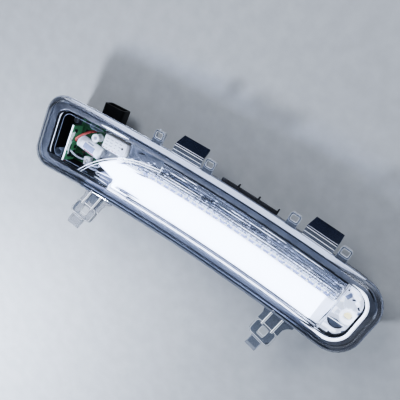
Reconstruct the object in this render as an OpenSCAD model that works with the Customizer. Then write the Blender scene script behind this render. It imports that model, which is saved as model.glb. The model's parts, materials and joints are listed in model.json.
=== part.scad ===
// Daytime running light: a long clear lens on a black tub, with a glowing bar inside.
// The lamp lies on its back, lens up. X runs along the lamp, Y across it, and the whole
// lamp is bowed slightly in the XY plane. A place on it is given as [s, v]: s along the
// bow, v across it.

/* [Lamp outline] */
// Length of the lens flange
lamp_len = 310; // [290:1:330]
// Width of the lens flange
lamp_w = 64; // [62:0.5:68]
// Corner radius at the squarer end
corner_left = 16; // [14:0.5:22]
// Corner radius at the rounder end
corner_right = 22; // [18:0.5:26]
// Radius of the bow along the lamp
bow_r = 1600; // [1200:50:3000]
// Radius of the lens crown along the lamp
crown_r = 6000; // [5000:100:12000]

/* [Rear housing] */
// Depth of the tub from its back to the top of its flange
tub_depth = 36.6; // [35:0.1:39]
// Height of the ribs that the lamp lies on
back_rib_h = 1.5; // [1:0.1:2.5]
// Wall thickness of the tub
tub_wall = 2.4; // [1.8:0.1:3]
// Thickness of the tub flange
tub_flange_t = 2.8; // [2:0.1:3.5]
// Distance of the tub flange inside the lens flange
tub_flange_in = 1.4; // [1:0.1:2]
// Length of the rail on the far side
rail_len = 49; // [40:1:56]
// Reach of the rail past the tub flange
rail_reach = 3.6; // [2.5:0.1:5]
// Width of the connector shroud
shroud_w = 20; // [16:0.5:24]
// Height of the connector shroud
shroud_h = 13; // [11:0.5:15]
// Reach of the connector shroud past the lens flange
shroud_reach = 6; // [4:0.5:12]

/* [Outer lens] */
// Height from the lens flange to the edge of its face
lens_rise = 8.4; // [8.2:0.1:10]
// Wall thickness of the lens
lens_wall = 2.4; // [2:0.1:3]
// Thickness of the lens flange
lens_flange_t = 2.6; // [2:0.1:3.2]
// Height of the seal between the flanges
seal_t = 1; // [0.6:0.1:1.5]
// Width of the seal
seal_w = 2.3; // [1.5:0.1:2.6]

/* [Legs and latches] */
// Distance between the two legs
leg_pitch = 180; // [160:1:190]
// Length of a leg
leg_len = 33; // [28:0.5:38]
// Angle at which the legs rise from the flange
leg_rise = 28; // [15:1:40]
// Sideways lean of the legs
leg_lean = 9; // [0:1:15]
// Outer width of a latch loop
loop_w = 8.6; // [8.2:0.1:10]
// Thickness of the bars of a latch loop
loop_bar = 1.3; // [1:0.1:1.6]
// Width of a latch tongue
tongue_w = 26; // [22:0.5:30]
// Thickness of a latch tongue
tongue_t = 1.6; // [1.2:0.1:2]

/* [Bezel and optics] */
// Width of the rim seen between the lens edge and the inner window
bezel_in = 10; // [9.5:0.1:11]
// Extra width of that rim at the squarer end
bezel_end_left = 3; // [2:0.1:4]
// Extra width of that rim at the rounder end
bezel_end_right = 1.2; // [1:0.1:3]
// Width of the ledge that the optic rests on
ledge_w = 1.4; // [1.2:0.1:1.6]
// Thickness of the optic
optic_t = 2; // [1.6:0.1:2.4]
// Number of flutes along the far half of the optic
flute_count = 7; // [4:1:9]
// Radius of the curved end of the optic
sweep_r = 79; // [76:0.5:82]

/* [Light bar] */
// Distance of the light bar from the squarer end of the lamp
bar_left_in = 61; // [60:0.5:63]
// Distance of the light bar from the rounder end of the lamp
bar_right_in = 39; // [39:0.5:47]
// Distance of the light bar from the near edge of the lamp
bar_near_in = 12.8; // [12.8:0.1:15]
// Distance of the light bar from the far edge of the lamp
bar_far_in = 27.4; // [27.4:0.1:29]
// Wall thickness of the diffuser
diffuser_wall = 1.8; // [1.2:0.1:2.2]
// Number of diodes under the diffuser
diode_count = 20; // [12:1:24]
// Side of a diode
diode_side = 5; // [3:0.1:5.5]
// Thickness of the heat sink plate
sink_t = 3; // [2:0.1:4]
// Number of heat sink fins
fin_count = 7; // [5:1:9]
// Thickness of a heat sink fin
fin_t = 1.4; // [1:0.1:1.8]

/* [Electronics] */
// Thickness of the circuit boards
board_t = 1.6; // [1:0.1:2]
// Height of the base board above the back of the lamp
base_board_z = 21.4; // [19:0.1:22]
// Height of the upright board
upright_h = 15; // [12:0.5:15.5]
// Diameter of the capacitor
capacitor_d = 11; // [8:0.1:11]
// Length of the capacitor
capacitor_len = 23; // [18:0.5:23]
// Height of the converter block
converter_h = 12.6; // [9:0.1:12.6]
// Thickness of the small wires
wire_d = 1.4; // [1:0.1:1.6]
// Thickness of the red wire
red_wire_d = 2.2; // [1.4:0.1:2.4]

/* [Hidden] */

fine = 48;
arc_steps = 8;
side_steps = 14;
sweep_fn = 1440;
wire_steps = 14;
wire_sides = 12;
embed = 0.6;
fit_gap = 0.3;

// The ends and the edges of the lamp, which everything inside keeps its distance from
left = -lamp_len / 2;
right = lamp_len / 2;
near = -lamp_w / 2;
far = lamp_w / 2;

// Heights, counted from the surface that the lamp lies on
flange_z = tub_depth;
seal_top = flange_z + seal_t;
face_edge_z = seal_top + lens_rise;
floor_z = back_rib_h + tub_wall;
face_dome = 0.8;
lens_top_in = 1;
lens_round = 2.6;
crown_mid = 8;
crown_side = 18;

// Widths of the bezel and the ledge
bezel_foot_in = 4.9;
bezel_wall = 1.5;
bezel_ends = [bezel_end_left, bezel_end_right];
crown_drop = pow(lamp_len / 2, 2) / (2 * crown_r);
bezel_crest_z = face_edge_z + face_dome - lens_wall - crown_drop - 0.9;
ledge_in = bezel_in + ledge_w;
ledge_z = flange_z + 0.2;
ledge_t = 2;
ledge_bottom = ledge_z - ledge_t;

// The optic
optic_half_w = far - bezel_in - fit_gap;
optic_top = bezel_crest_z - 0.5;
optic_left = left + 93;
optic_right = right - 32;
sweep_centre = [left + 115, near - 33.2];
sweep_wall = 1.6;

// The light bar
bar_left = left + bar_left_in;
bar_right = right - bar_right_in;
bar_near = near + bar_near_in;
bar_far = far - bar_far_in;
sink_top = ledge_bottom - 5.4;
sink_bottom = sink_top - sink_t;
sink_near = bar_near - 2.4;
sink_far = bar_far + 3;
fin_bottom = 12;
pad_t = 0.5;
led_board_top = sink_top + pad_t + board_t;
led_board_near = bar_near + diffuser_wall + fit_gap;
led_board_far = bar_far - diffuser_wall - fit_gap;
diffuser_top = optic_top - optic_t - 0.6;
diode_t = 0.9;
bar_middle = (bar_near + bar_far) / 2;
// The bar's near left corner is cut back to here
notch = [bar_left + 19, bar_near + 6.6];
notch_rise = 6.2;
sink_left = bar_left - 3.6;
sink_right = bar_right + 7.6;
lug_left = [bar_left + 0.4, bar_far - 2.8];
lug_right = [sink_right - 3.7, bar_middle];
post_d = 7;
screw_d = 2.6;
screw_head_d = 5;
screw_head_t = 1.8;

// The round end chamber
end_left = optic_right + 1.4;
end_top = ledge_bottom;
end_bottom = end_top - 10.8;
end_in = bezel_foot_in + 3.9;
end_wall = 1.1;
end_lamp = [right - 16.6, -3];
end_board_top = end_bottom - fit_gap;
end_board_t = 1.2;
end_board_d = 13;

// The electronics chamber
base_top = base_board_z + board_t;
base_left = left + 16;
base_right = left + 55;
base_half_w = far - 13;
base_tail_right = left + 81;
base_tail_near = bar_far + 1.2;
upright_s = left + 27.6;
upright_near = near + 11.8;
upright_far = far - 20;
capacitor_from = [left + 33.2, 0.6];
capacitor_turn = -8;
converter_size = [22, 12];
converter_place = [left + 68, bar_far + 1.3 + converter_size[1] / 2];
choke_place = [left + 46.8, 8.6];
bush_place = [left + 19.2, 2.4 - base_half_w];
plug_place = [left + 44.5, -14];
tab_left = sink_left + 0.4;
tab_near = bar_near - 0.3;
tab_far = bar_near + 12.8;
tab_neck = 9.4;
board_posts = [
    [left + 20.5, base_half_w - 5.5], bush_place,
    [left + 52.8, base_half_w - 2.6], [left + 51.6, 2.6 - base_half_w]
];

// The outside
leg_root_z = seal_top + lens_flange_t / 2;
loop_places = [left + 102, left + 148, right - 88.5, right - 46.5];
tongue_places = [left + 129, right - 66];
loop_reach = 7.4;
loop_base = 3;
loop_h = 4.4;
rail_s = 29.5;
shroud_place = [left + 49, 17];
shroud_root = far - 7.4;
shroud_wall = 1.8;
shroud_depth = 11;
vent_place = [46, 15];
vent_root = near + 7.6;
vent_d = 9;

degrees = 180 / PI;

function turn(s) = s / bow_r * degrees;

function bend(p) = [
    (bow_r + p[1]) * sin(turn(p[0])),
    (bow_r + p[1]) * cos(turn(p[0])) - bow_r
];

function corner(centre, r, from) = [
    for (i = [0:arc_steps])
        let (a = from + 90 * i / arc_steps) centre + r * [cos(a), sin(a)]
];

function side(from, to, v) = [
    for (i = [1:side_steps - 1]) [from + (to - from) * i / side_steps, v]
];

// The rounded outline of the lamp, drawn inward by inset, and by ends more at its two ends
function outline(inset, ends = [0, 0]) =
    let (
        from = left + inset + ends[0],
        to = right - inset - ends[1],
        b = far - inset,
        rl = max(corner_left - inset * 0.8, 2),
        rr = max(corner_right - inset * 0.8, 2)
    )
    concat(
        corner([to - rr, b - rr], rr, 0),
        side(to - rr, from + rl, b),
        corner([from + rl, b - rl], rl, 90),
        corner([from + rl, -b + rl], rl, 180),
        side(from + rl, to - rr, -b),
        corner([to - rr, -b + rr], rr, 270)
    );

function bent(points) = [for (p = points) bend(p)];

// One ring of a lofted shell, lowered along the crown where crowned is 1
function ring(inset, z, crowned = 0, ends = [0, 0]) = [
    for (p = outline(inset, ends))
        let (q = bend(p)) [q[0], q[1], z - crowned * p[0] * p[0] / (2 * crown_r)]
];

// A loft through rings of equal length: closed makes a frame, otherwise both ends are capped
module loft(rings, closed = false) {
    n = len(rings[0]);
    m = len(rings);
    top = (m - 1) * n;
    sides = [
        for (j = [0:closed ? m - 1 : m - 2], i = [0:n - 1])
            let (
                k = (i + 1) % n,
                low = j * n,
                high = ((j + 1) % m) * n
            )
            each [[low + i, high + i, high + k], [low + i, high + k, low + k]]
    ];
    caps = closed ? [] : [
        for (i = [0:n / 2 - 2])
            let (j = n - 1 - i)
            each [
                [i, i + 1, j - 1], [i, j - 1, j],
                [top + i, top + j, top + j - 1], [top + i, top + j - 1, top + i + 1]
            ]
    ];
    polyhedron(points = [for (r = rings) each r], faces = concat(sides, caps), convexity = 8);
}

// A straight-walled plate of the outline
module slab(z, h, inset, ends = [0, 0]) {
    translate([0, 0, z]) linear_extrude(h) polygon(bent(outline(inset, ends)));
}

// Children placed on the bow at [s, v], turned with it
module at(place, z = 0) {
    p = bend(place);
    translate([p[0], p[1], z]) rotate([0, 0, -turn(place[0])]) children();
}

// A flat profile drawn in v and z, swept along the bow
module along(from, to) {
    translate([0, -bow_r, 0])
        rotate([0, 0, 90 - turn(to)])
            rotate_extrude(angle = turn(to - from), $fn = sweep_fn)
                translate([bow_r, 0]) children();
}

// A bar of rectangular section along the bow
module strip(from, to, near, far, z0, z1) {
    along(from, to) translate([near, z0]) square([far - near, z1 - z0]);
}

function rounded(w, h, r) = [
    for (c = [[w / 2 - r, h / 2 - r, 0], [r - w / 2, h / 2 - r, 90],
              [r - w / 2, r - h / 2, 180], [w / 2 - r, r - h / 2, 270]],
         i = [0:4])
        let (a = c[2] + 90 * i / 4) [c[0] + r * cos(a), c[1] + r * sin(a)]
];

module rounded_block(w, d, h, r) {
    linear_extrude(h) polygon(rounded(w, d, r));
}

function lift(place, z) = [bend(place)[0], bend(place)[1], z];

// A round wire along the curve that four points pull on, drawn with rings across it
module wire(points, d) {
    run = points[3] - points[0];
    across = [-run[1], run[0], 0] / norm([run[0], run[1]]);
    loft([for (i = [0:wire_steps])
        let (
            t = i / wire_steps,
            u = 1 - t,
            place = u * u * u * points[0] + 3 * u * u * t * points[1] + 3 * u * t * t * points[2]
                + t * t * t * points[3],
            way = u * u * (points[1] - points[0]) + 2 * u * t * (points[2] - points[1])
                + t * t * (points[3] - points[2]),
            up = cross(way, across) / norm(cross(way, across)),
            out = cross(up, way) / norm(cross(up, way))
        )
        [for (k = [0:wire_sides - 1])
            let (a = 360 * k / wire_sides) place + d / 2 * (cos(a) * out + sin(a) * up)]
    ]);
}

// Outer lens

module lens_cap() {
    step = lens_round / 3;
    inner = lens_top_in + lens_wall;
    inner_z = face_edge_z - lens_wall;
    z = face_edge_z;
    loft([
        ring(far - crown_mid, inner_z + face_dome, 1),
        ring(far - crown_side, inner_z + face_dome * 0.8, 1),
        ring(inner + 2, inner_z, 1),
        ring(inner + 0.4, inner_z - 1.2, 1),
        ring(inner - 0.2, seal_top + 0.4),
        ring(lens_top_in - 0.4, seal_top + 0.4),
        ring(lens_top_in, z - lens_round, 1),
        ring(lens_top_in + step * 0.35, z - step * 1.4, 1),
        ring(lens_top_in + step * 1.2, z - step * 0.45, 1),
        ring(lens_top_in + lens_round, z, 1),
        ring(far - crown_side, z + face_dome * 0.8, 1),
        ring(far - crown_mid, z + face_dome, 1)
    ]);
}

module lens_flange() {
    difference() {
        slab(seal_top, lens_flange_t, 0);
        slab(seal_top - embed, lens_flange_t + 2 * embed, lens_top_in + lens_wall - 0.2);
    }
}

// One leg in its own plane: x across it, y outward from the flange
module leg() {
    rib_x = 5;
    rib_t = 1.5;
    rib_h = 3.4;
    cross_y = leg_len * 0.38;
    wing_end = leg_len * 0.74;
    wing_w = 20;
    wing_h = 4.4;
    wing_wall = 1.3;
    plate_t = 1.6;
    foot_w = 9.6;
    foot_h = 6.6;
    flare = 6.5;
    root_w = wing_w + 10;
    window = [6.4, wing_end - cross_y - 4.6];
    difference() {
        union() {
            // Plate with a concave flare into the flange
            linear_extrude(plate_t) difference() {
                translate([-root_w / 2, -embed]) square([root_w, cross_y + embed]);
                for (x = [-1, 1])
                    translate([x * (root_w / 2 + 3.5), flare + 2.6])
                        circle(r = flare + 2, $fn = fine);
                for (x = [-1, 1])
                    translate([x * root_w / 2 - 4.9, flare]) square([9.8, cross_y]);
            }
            // Wings with rounded outer corners, walled along their edges
            translate([0, (cross_y + wing_end) / 2, 0])
                rounded_block(wing_w, wing_end - cross_y, wing_h, 3);
            // Foot
            translate([-foot_w / 2, wing_end - 1, 0]) cube([foot_w, leg_len - wing_end + 1, foot_h]);
            // Two ribs
            for (x = [-rib_x, rib_x])
                translate([x - rib_t / 2, -embed, 0]) cube([rib_t, cross_y + 2.4, plate_t + rib_h]);
        }
        // Hollows in the wings, either side of the middle channel
        for (x = [-1, 1])
            translate([x * (wing_w / 4 + 1.6), (cross_y + wing_end) / 2, plate_t])
                rounded_block(wing_w / 2 - 5, wing_end - cross_y - 2 * wing_wall, wing_h, 1.4);
        translate([0, (cross_y + wing_end) / 2, plate_t])
            rounded_block(2 * rib_x - rib_t, wing_end - cross_y - 2 * wing_wall, wing_h, 0.8);
        // Window through the channel
        translate([0, cross_y + 2.2 + window[1] / 2, -embed])
            rounded_block(window[0], window[1], plate_t + 2 * embed, 1);
        // Step across the foot
        translate([-foot_w / 2 - embed, wing_end - 1 - embed, wing_h])
            cube([foot_w + 2 * embed, 2.6, foot_h]);
        // Sloped nose of the foot
        translate([-foot_w / 2 - embed, leg_len, foot_h - 2.4])
            rotate([45, 0, 0]) cube([foot_w + 2 * embed, 6, 6]);
    }
}

module legs() {
    for (x = [-1, 1])
        at([x * leg_pitch / 2 + 7, near + 0.9], leg_root_z)
            rotate([0, 0, 180 - leg_lean]) rotate([leg_rise, 0, 0])
                translate([0, 0, -0.8]) leg();
}

// A square loop that stands off the flange on a small block
module latch_loop() {
    ring_v = loop_base + loop_reach / 2;
    translate([-loop_w / 2, -embed, 0]) cube([loop_w, loop_base + embed + 0.4, lens_flange_t + 1]);
    difference() {
        translate([0, ring_v, -0.6]) rounded_block(loop_w, loop_reach, loop_h, 1.8);
        translate([0, ring_v, -0.6 - embed])
            rounded_block(loop_w - 2 * loop_bar, loop_reach - 2 * loop_bar, loop_h + 2 * embed, 1);
    }
}

// A wide springy tongue: a ledge, a flat strip, a round bend and a sloping blade
module latch_tongue() {
    ledge = 3.4;
    strip_len = 3.2;
    bend_in = 1.4;
    slope = 42;
    blade = 9;
    chamfer = 5;
    top = lens_flange_t + 0.6;
    bend_out = bend_in + tongue_t;
    translate([-tongue_w / 2, -embed, 0]) cube([tongue_w, ledge + embed, top]);
    intersection() {
        translate([-tongue_w / 2, 0, 0]) rotate([90, 0, 90]) linear_extrude(tongue_w) union() {
            translate([ledge - embed, top - tongue_t]) square([strip_len + embed, tongue_t]);
            translate([ledge + strip_len, top - bend_out]) {
                intersection() {
                    difference() {
                        circle(r = bend_out, $fn = fine);
                        circle(r = bend_in, $fn = fine);
                    }
                    polygon([[0, 0], [0, 9], [9 * sin(slope / 2), 9 * cos(slope / 2)],
                             [9 * sin(slope), 9 * cos(slope)]]);
                }
                rotate(-slope) translate([-0.05, bend_in]) square([blade, tongue_t]);
            }
        }
        translate([0, 0, -20]) linear_extrude(40)
            polygon([[-tongue_w / 2, 0], [tongue_w / 2, 0], [tongue_w / 2, ledge + strip_len + 4],
                     [tongue_w / 2 - 1.5, 30], [-tongue_w / 2 + chamfer + 1.5, 30],
                     [-tongue_w / 2, ledge + strip_len + 1]]);
    }
}

module outer_lens() {
    color([0.85, 0.9, 0.97, 0.35]) union() {
        lens_cap();
        lens_flange();
        legs();
        for (s = loop_places) at([s, far], seal_top) latch_loop();
        for (s = tongue_places) at([s, far], seal_top) latch_tongue();
    }
}

module lens_seal() {
    color("dimgray") difference() {
        slab(flange_z, seal_t, tub_flange_in + 0.4);
        slab(flange_z - embed, seal_t + 2 * embed, tub_flange_in + 0.4 + seal_w);
    }
}

// Rear housing

module tub() {
    wall_top_in = tub_flange_in + 2.8;
    wall_low_in = wall_top_in + 3.2;
    under = flange_z - tub_flange_t;
    low = back_rib_h + 7;
    loft([
        ring(wall_low_in + 6.6, back_rib_h),
        ring(wall_low_in + 3, back_rib_h + 1),
        ring(wall_low_in + 0.9, back_rib_h + 3.4),
        ring(wall_low_in, low),
        ring(wall_top_in, under),
        ring(tub_flange_in, under),
        ring(tub_flange_in, flange_z),
        ring(wall_top_in + tub_wall, flange_z),
        ring(wall_low_in + tub_wall, low),
        ring(wall_low_in + tub_wall + 0.9, low - 2.4),
        ring(wall_low_in + tub_wall + 3, floor_z + 0.6),
        ring(wall_low_in + tub_wall + 6, floor_z)
    ]);
}

// The raised ribs on the back that the lamp lies on
module back_ribs() {
    rim = 17.6;
    rib = 2;
    difference() {
        slab(0, back_rib_h + embed, rim);
        slab(-embed, back_rib_h + 3 * embed, rim + rib);
    }
    intersection() {
        slab(0, back_rib_h + embed, rim + 0.1);
        union() {
            for (i = [-4:4]) at([i * 30, 0], 0) translate([-rib / 2, near, 0]) cube([rib, lamp_w, 9]);
            strip(left + 20, right - 20, -rib / 2, rib / 2, 0, 9);
        }
    }
}

module post(place, top) {
    at(place, floor_z - embed) difference() {
        cylinder(d = post_d, h = top - floor_z + embed, $fn = fine);
        translate([0, 0, top - floor_z + embed - 9]) cylinder(d = screw_d - 0.4, h = 10, $fn = fine);
    }
}

module shroud() {
    reach = far + shroud_reach - shroud_root;
    at([shroud_place[0], shroud_root], shroud_place[1]) rotate([-90, 0, 0]) difference() {
        rounded_block(shroud_w, shroud_h, reach, 2.4);
        translate([0, 0, reach - shroud_depth])
            rounded_block(shroud_w - 2 * shroud_wall, shroud_h - 2 * shroud_wall, shroud_depth + 1, 1.2);
    }
}

module rail() {
    reach_v = far - tub_flange_in + rail_reach;
    strip(rail_s - rail_len / 2, rail_s + rail_len / 2, far - tub_flange_in - embed, reach_v,
          flange_z - tub_flange_t, flange_z - 0.4);
    for (x = [-0.2, 0.16, 0.5])
        at([rail_s + x * rail_len - 1, reach_v - 1], flange_z - tub_flange_t) cube([1, 3.4, 3.6]);
}

module vent_stub() {
    at([vent_place[0], vent_root], vent_place[1]) rotate([90, 0, 0]) difference() {
        cylinder(d = vent_d - 3, h = 6, $fn = fine);
        translate([0, 0, -1]) cylinder(d = 2.4, h = 8, $fn = fine);
    }
}

module rear_housing() {
    color([0.06, 0.06, 0.07]) difference() {
        union() {
            tub();
            back_ribs();
            shroud();
            rail();
            vent_stub();
            for (p = board_posts) post(p, base_board_z);
            post(lug_left, sink_bottom);
            post(lug_right, sink_bottom);
            at(end_lamp, floor_z - embed)
                cylinder(d = 10, h = end_board_top - end_board_t - floor_z + embed, $fn = fine);
        }
        // Holes for the terminal pins
        for (x = [-1, 1])
            at([shroud_place[0] + x * 4, shroud_root - 4.6], shroud_place[1]) rotate([-90, 0, 0])
                cylinder(d = 1.6, h = 12, $fn = fine);
    }
}

module vent_cap() {
    color([0.12, 0.12, 0.12]) at([vent_place[0], vent_root - 3.6], vent_place[1]) rotate([90, 0, 0])
        difference() {
            cylinder(d = vent_d, h = 4, $fn = fine);
            translate([0, 0, -embed]) cylinder(d = vent_d - 3, h = 2.4 + embed, $fn = fine);
        }
}

module terminal_pins() {
    color("goldenrod") for (x = [-1, 1])
        at([shroud_place[0] + x * 4, shroud_root - 4.1], shroud_place[1]) rotate([-90, 0, 0])
            cylinder(d = 1.6, h = 14, $fn = 24);
}

// Bezel and optics

module inner_bezel() {
    color([0.45, 0.5, 0.6]) loft([
        ring(bezel_foot_in, flange_z),
        ring(bezel_foot_in, bezel_crest_z - 3),
        ring(bezel_foot_in + 1, bezel_crest_z - 1.8),
        ring(bezel_in - 0.6, bezel_crest_z, 0, bezel_ends),
        ring(bezel_in, bezel_crest_z - 0.3, 0, bezel_ends),
        ring(bezel_in, ledge_z, 0, bezel_ends),
        ring(ledge_in, ledge_z, 0, bezel_ends),
        ring(ledge_in, ledge_bottom, 0, bezel_ends),
        ring(bezel_in - bezel_wall, ledge_bottom, 0, bezel_ends),
        ring(bezel_in - bezel_wall, bezel_crest_z - 2, 0, bezel_ends),
        ring(bezel_foot_in + 1.8, bezel_crest_z - 3.4),
        ring(bezel_foot_in + 1.5, flange_z)
    ], closed = true);
}

// The clear optic: a flat near half and a far half with flutes
module optic_profile() {
    flat_to = bar_far + 1;
    pitch = (optic_half_w - 1 - flat_to) / flute_count;
    flute_h = 0.7;
    steps = 4;
    flutes = [
        for (i = [0:flute_count - 1], j = [0:steps - 1])
            [flat_to + pitch * (i + j / steps), optic_top - flute_h * pow(2 * j / steps - 1, 2)]
    ];
    under = optic_top - optic_t;
    polygon(concat(
        [[-optic_half_w, ledge_z], [-optic_half_w, optic_top - 1], [1 - optic_half_w, optic_top],
         [flat_to - 0.5, optic_top]],
        flutes,
        [[optic_half_w - 0.6, optic_top - flute_h], [optic_half_w, optic_top - 1.4],
         [optic_half_w, ledge_z], [optic_half_w - ledge_w, ledge_z],
         [optic_half_w - ledge_w, under], [ledge_w - optic_half_w, under],
         [ledge_w - optic_half_w, ledge_z]]
    ));
}

// Everything right of the optic's curved left end, drawn inward by gap
module right_of_sweep(gap = 0) {
    linear_extrude(80) union() {
        translate([optic_left, 2 * near]) square([lamp_len, 2 * lamp_w]);
        intersection() {
            translate(sweep_centre) circle(r = sweep_r - gap, $fn = 240);
            translate([left, 2 * near]) square([optic_left - left + 1, 2 * lamp_w]);
        }
    }
}

module inner_lens() {
    color([0.9, 0.94, 1, 0.4]) union() {
        intersection() {
            along(base_left, optic_right) optic_profile();
            right_of_sweep();
        }
        // The wall that hangs from the curved end
        intersection() {
            strip(base_left, optic_left + 6, -optic_half_w + ledge_w - 0.2, optic_half_w - 4,
                  diffuser_top - 2.4, optic_top - 1);
            linear_extrude(80) difference() {
                translate(sweep_centre) circle(r = sweep_r, $fn = 240);
                translate(sweep_centre) circle(r = sweep_r - sweep_wall, $fn = 240);
                translate([optic_left + 1, 2 * near]) square([lamp_len, 2 * lamp_w]);
            }
        }
    }
}

// Light bar

module heat_sink() {
    fin_from = bar_left + 6;
    fin_to = bar_right - 6;
    fin_in = 0.8;
    pitch = (sink_far - sink_near - fin_t - 2 * fin_in) / (fin_count - 1);
    color([0.72, 0.74, 0.76]) difference() {
        union() {
            strip(sink_left, sink_right, sink_near, sink_far, sink_bottom, sink_top);
            for (i = [0:fin_count - 1])
                let (v = sink_near + fin_in + i * pitch)
                    strip(fin_from, fin_to, v, v + fin_t, fin_bottom, sink_bottom + sink_t / 2);
        }
        // Room for the converter beside the left end
        strip(sink_left - 5, optic_left, bar_far + 0.6, sink_far + 1, fin_bottom - 1, sink_top + 1);
        for (p = [lug_left, lug_right])
            at(p, sink_bottom - 1) cylinder(d = screw_d + 0.6, h = sink_t + 2, $fn = fine);
    }
}

// The near left corner that the bar leaves free, drawn wider by gap
module bar_notch(gap = 0) {
    linear_extrude(80) polygon(bent([
        [bar_left - 9, notch[1] + notch_rise * 28 / 19 + gap], [notch[0] + gap, notch[1] + gap],
        [notch[0] + gap, bar_near - 9], [bar_left - 9, bar_near - 9]
    ]));
}

// A layer under the diodes, with a tab for the wires at its left end
module diode_layer(z0, z1) {
    difference() {
        intersection() {
            strip(bar_left + 3, bar_right - 4, led_board_near, led_board_far, z0, z1);
            right_of_sweep(sweep_wall + diffuser_wall + 3 * fit_gap);
        }
        bar_notch(diffuser_wall + fit_gap);
    }
    translate([0, 0, z0]) linear_extrude(z1 - z0) polygon(bent([
        [tab_left, tab_near], [bar_left + 4.6, tab_near], [bar_left + 4.6, tab_far - 5],
        [bar_left + tab_neck, tab_far - 5], [bar_left + tab_neck, tab_far + 2.4],
        [tab_left, tab_far + 2.4]
    ]));
}

module thermal_pad() {
    color("gray") diode_layer(sink_top, sink_top + pad_t);
}

module led_board() {
    color("whitesmoke") diode_layer(sink_top + pad_t, led_board_top);
}

module bar_diodes() {
    first = bar_left + 24.5;
    last = bar_right - 7;
    color([1, 0.95, 0.7]) for (i = [0:diode_count - 1])
        at([first + (last - first) * i / (diode_count - 1), bar_middle], led_board_top)
            translate([-diode_side / 2, -diode_side / 2, 0]) cube([diode_side, diode_side, diode_t]);
}

// A milky cover, open below, that stands on the heat sink around the diode board
module diffuser() {
    inner_top = diffuser_top - diffuser_wall;
    round_r = 2.4;
    color("white") difference() {
        intersection() {
            along(bar_left, bar_right) union() {
                translate([bar_near, sink_top])
                    square([bar_far - bar_near, diffuser_top - sink_top - round_r]);
                translate([bar_near + round_r, sink_top])
                    square([bar_far - bar_near - 2 * round_r, diffuser_top - sink_top]);
                for (v = [bar_near + round_r, bar_far - round_r])
                    translate([v, diffuser_top - round_r]) circle(r = round_r, $fn = fine);
            }
            right_of_sweep(sweep_wall + fit_gap);
        }
        bar_notch();
        difference() {
            intersection() {
                strip(bar_left + diffuser_wall, bar_right - diffuser_wall, bar_near + diffuser_wall,
                      bar_far - diffuser_wall, sink_top - 1, inner_top);
                right_of_sweep(sweep_wall + fit_gap + diffuser_wall);
            }
            bar_notch(diffuser_wall);
        }
        // Way out for the tab of the diode board
        strip(bar_left - 3, bar_left + tab_neck + fit_gap, tab_near - fit_gap, tab_far + 2.4 + fit_gap,
              sink_top - 1, led_board_top + fit_gap);
    }
}

// The white corner bracket around the near left corner of the bar
module bar_bracket() {
    t = 1;
    arm = 15;
    color("white") translate([0, 0, sink_top]) linear_extrude(diffuser_top - 0.6 - sink_top) polygon(bent([
        [notch[0] - t, bar_near - t], [notch[0] + arm, bar_near - t], [notch[0] + arm, bar_near - 0.02],
        [notch[0] - 0.02, bar_near - 0.02], [notch[0] - 0.02, notch[1]], [notch[0] - t, notch[1]]
    ]));
}

// A clear block with ribs along it, in the corner that the bar leaves free
module ribbed_guide() {
    from = bar_left + 5;
    to = notch[0] - 1.5;
    top = diffuser_top - 3.4;
    rib = 0.9;
    count = 4;
    pitch = (notch[1] - bar_near + 0.4 - rib) / (count - 1);
    color([0.85, 0.9, 0.97, 0.6]) along(from, to) union() {
        translate([bar_near - 1, sink_top]) square([notch[1] - bar_near + 0.6, top - sink_top]);
        for (i = [0:count - 1])
            translate([bar_near - 0.8 + i * pitch, top - embed]) square([rib, 1.4 + embed]);
    }
}

// A bright trough beside the bar, under the flutes
module side_reflector() {
    foot_v = bar_far + 0.8;
    rim_v = far - ledge_in - 1.6;
    rim_t = 1.6;
    rise = ledge_bottom - rim_t - sink_top;
    steps = 10;
    upper = [
        for (i = [0:steps])
            let (u = i / steps) [foot_v + (rim_v - foot_v) * u, sink_top + 1.4 + rise * u * u]
    ];
    color([0.8, 0.82, 0.86]) along(optic_left + 2, optic_right) polygon(concat(
        upper,
        [[rim_v, ledge_bottom], [rim_v + 3, ledge_bottom], [rim_v + 3, ledge_bottom - rim_t]],
        [for (i = [steps:-1:2]) upper[i] - [0, 1.4]],
        [[foot_v + 2, sink_top], [foot_v, sink_top]]
    ));
}

// Round end chamber

module end_reflector() {
    height = end_top - end_bottom;
    color([0.82, 0.84, 0.88]) difference() {
        intersection() {
            slab(end_bottom, height, end_in);
            strip(end_left, right, near, far, end_bottom, end_top);
        }
        // Stepped bowl around the small lamp
        at(end_lamp, end_bottom - 1) cylinder(d = 7.4, h = 20, $fn = fine);
        intersection() {
            slab(end_bottom - 1, 20, end_in + end_wall);
            strip(end_left + end_wall, right, near, far, end_bottom - 1, end_top + 9);
            union() {
                at(end_lamp, end_bottom + 1.6) cylinder(r1 = 4.4, r2 = 6.2, h = 4, $fn = fine);
                at(end_lamp, end_bottom + 5.4) cylinder(r1 = 7, r2 = far, h = height - 5.3, $fn = fine);
                // Flat-floored rays that break the bowl into steps
                for (a = [15:30:345])
                    at(end_lamp, end_bottom + 3.8) rotate([0, 0, a])
                        translate([5.2, -1.3, 0]) cube([far, 2.6, 20]);
                // Half-round recess on the near side
                intersection() {
                    at(end_lamp + [-6.6, -6.6], end_bottom + 2.4) cylinder(r = 5.6, h = 20, $fn = fine);
                    strip(end_left, right, near, end_lamp[1] - 5.6, end_bottom, end_top + 9);
                }
            }
        }
    }
}

module end_divider() {
    color([0.9, 0.93, 1, 0.5])
        strip(end_left, end_left + 1.2, near + ledge_in + 0.4, far - ledge_in - 0.4, end_top, optic_top - 1);
}

module end_board() {
    color("whitesmoke") at(end_lamp, end_board_top - end_board_t)
        cylinder(d = end_board_d, h = end_board_t, $fn = fine);
}

module end_diode() {
    color([1, 0.9, 0.45]) at(end_lamp, end_board_top) union() {
        translate([-2.4, -2.4, 0]) cube([4.8, 4.8, 0.9]);
        cylinder(d = 3.6, h = 2, $fn = fine);
    }
}

// Electronics chamber

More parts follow.
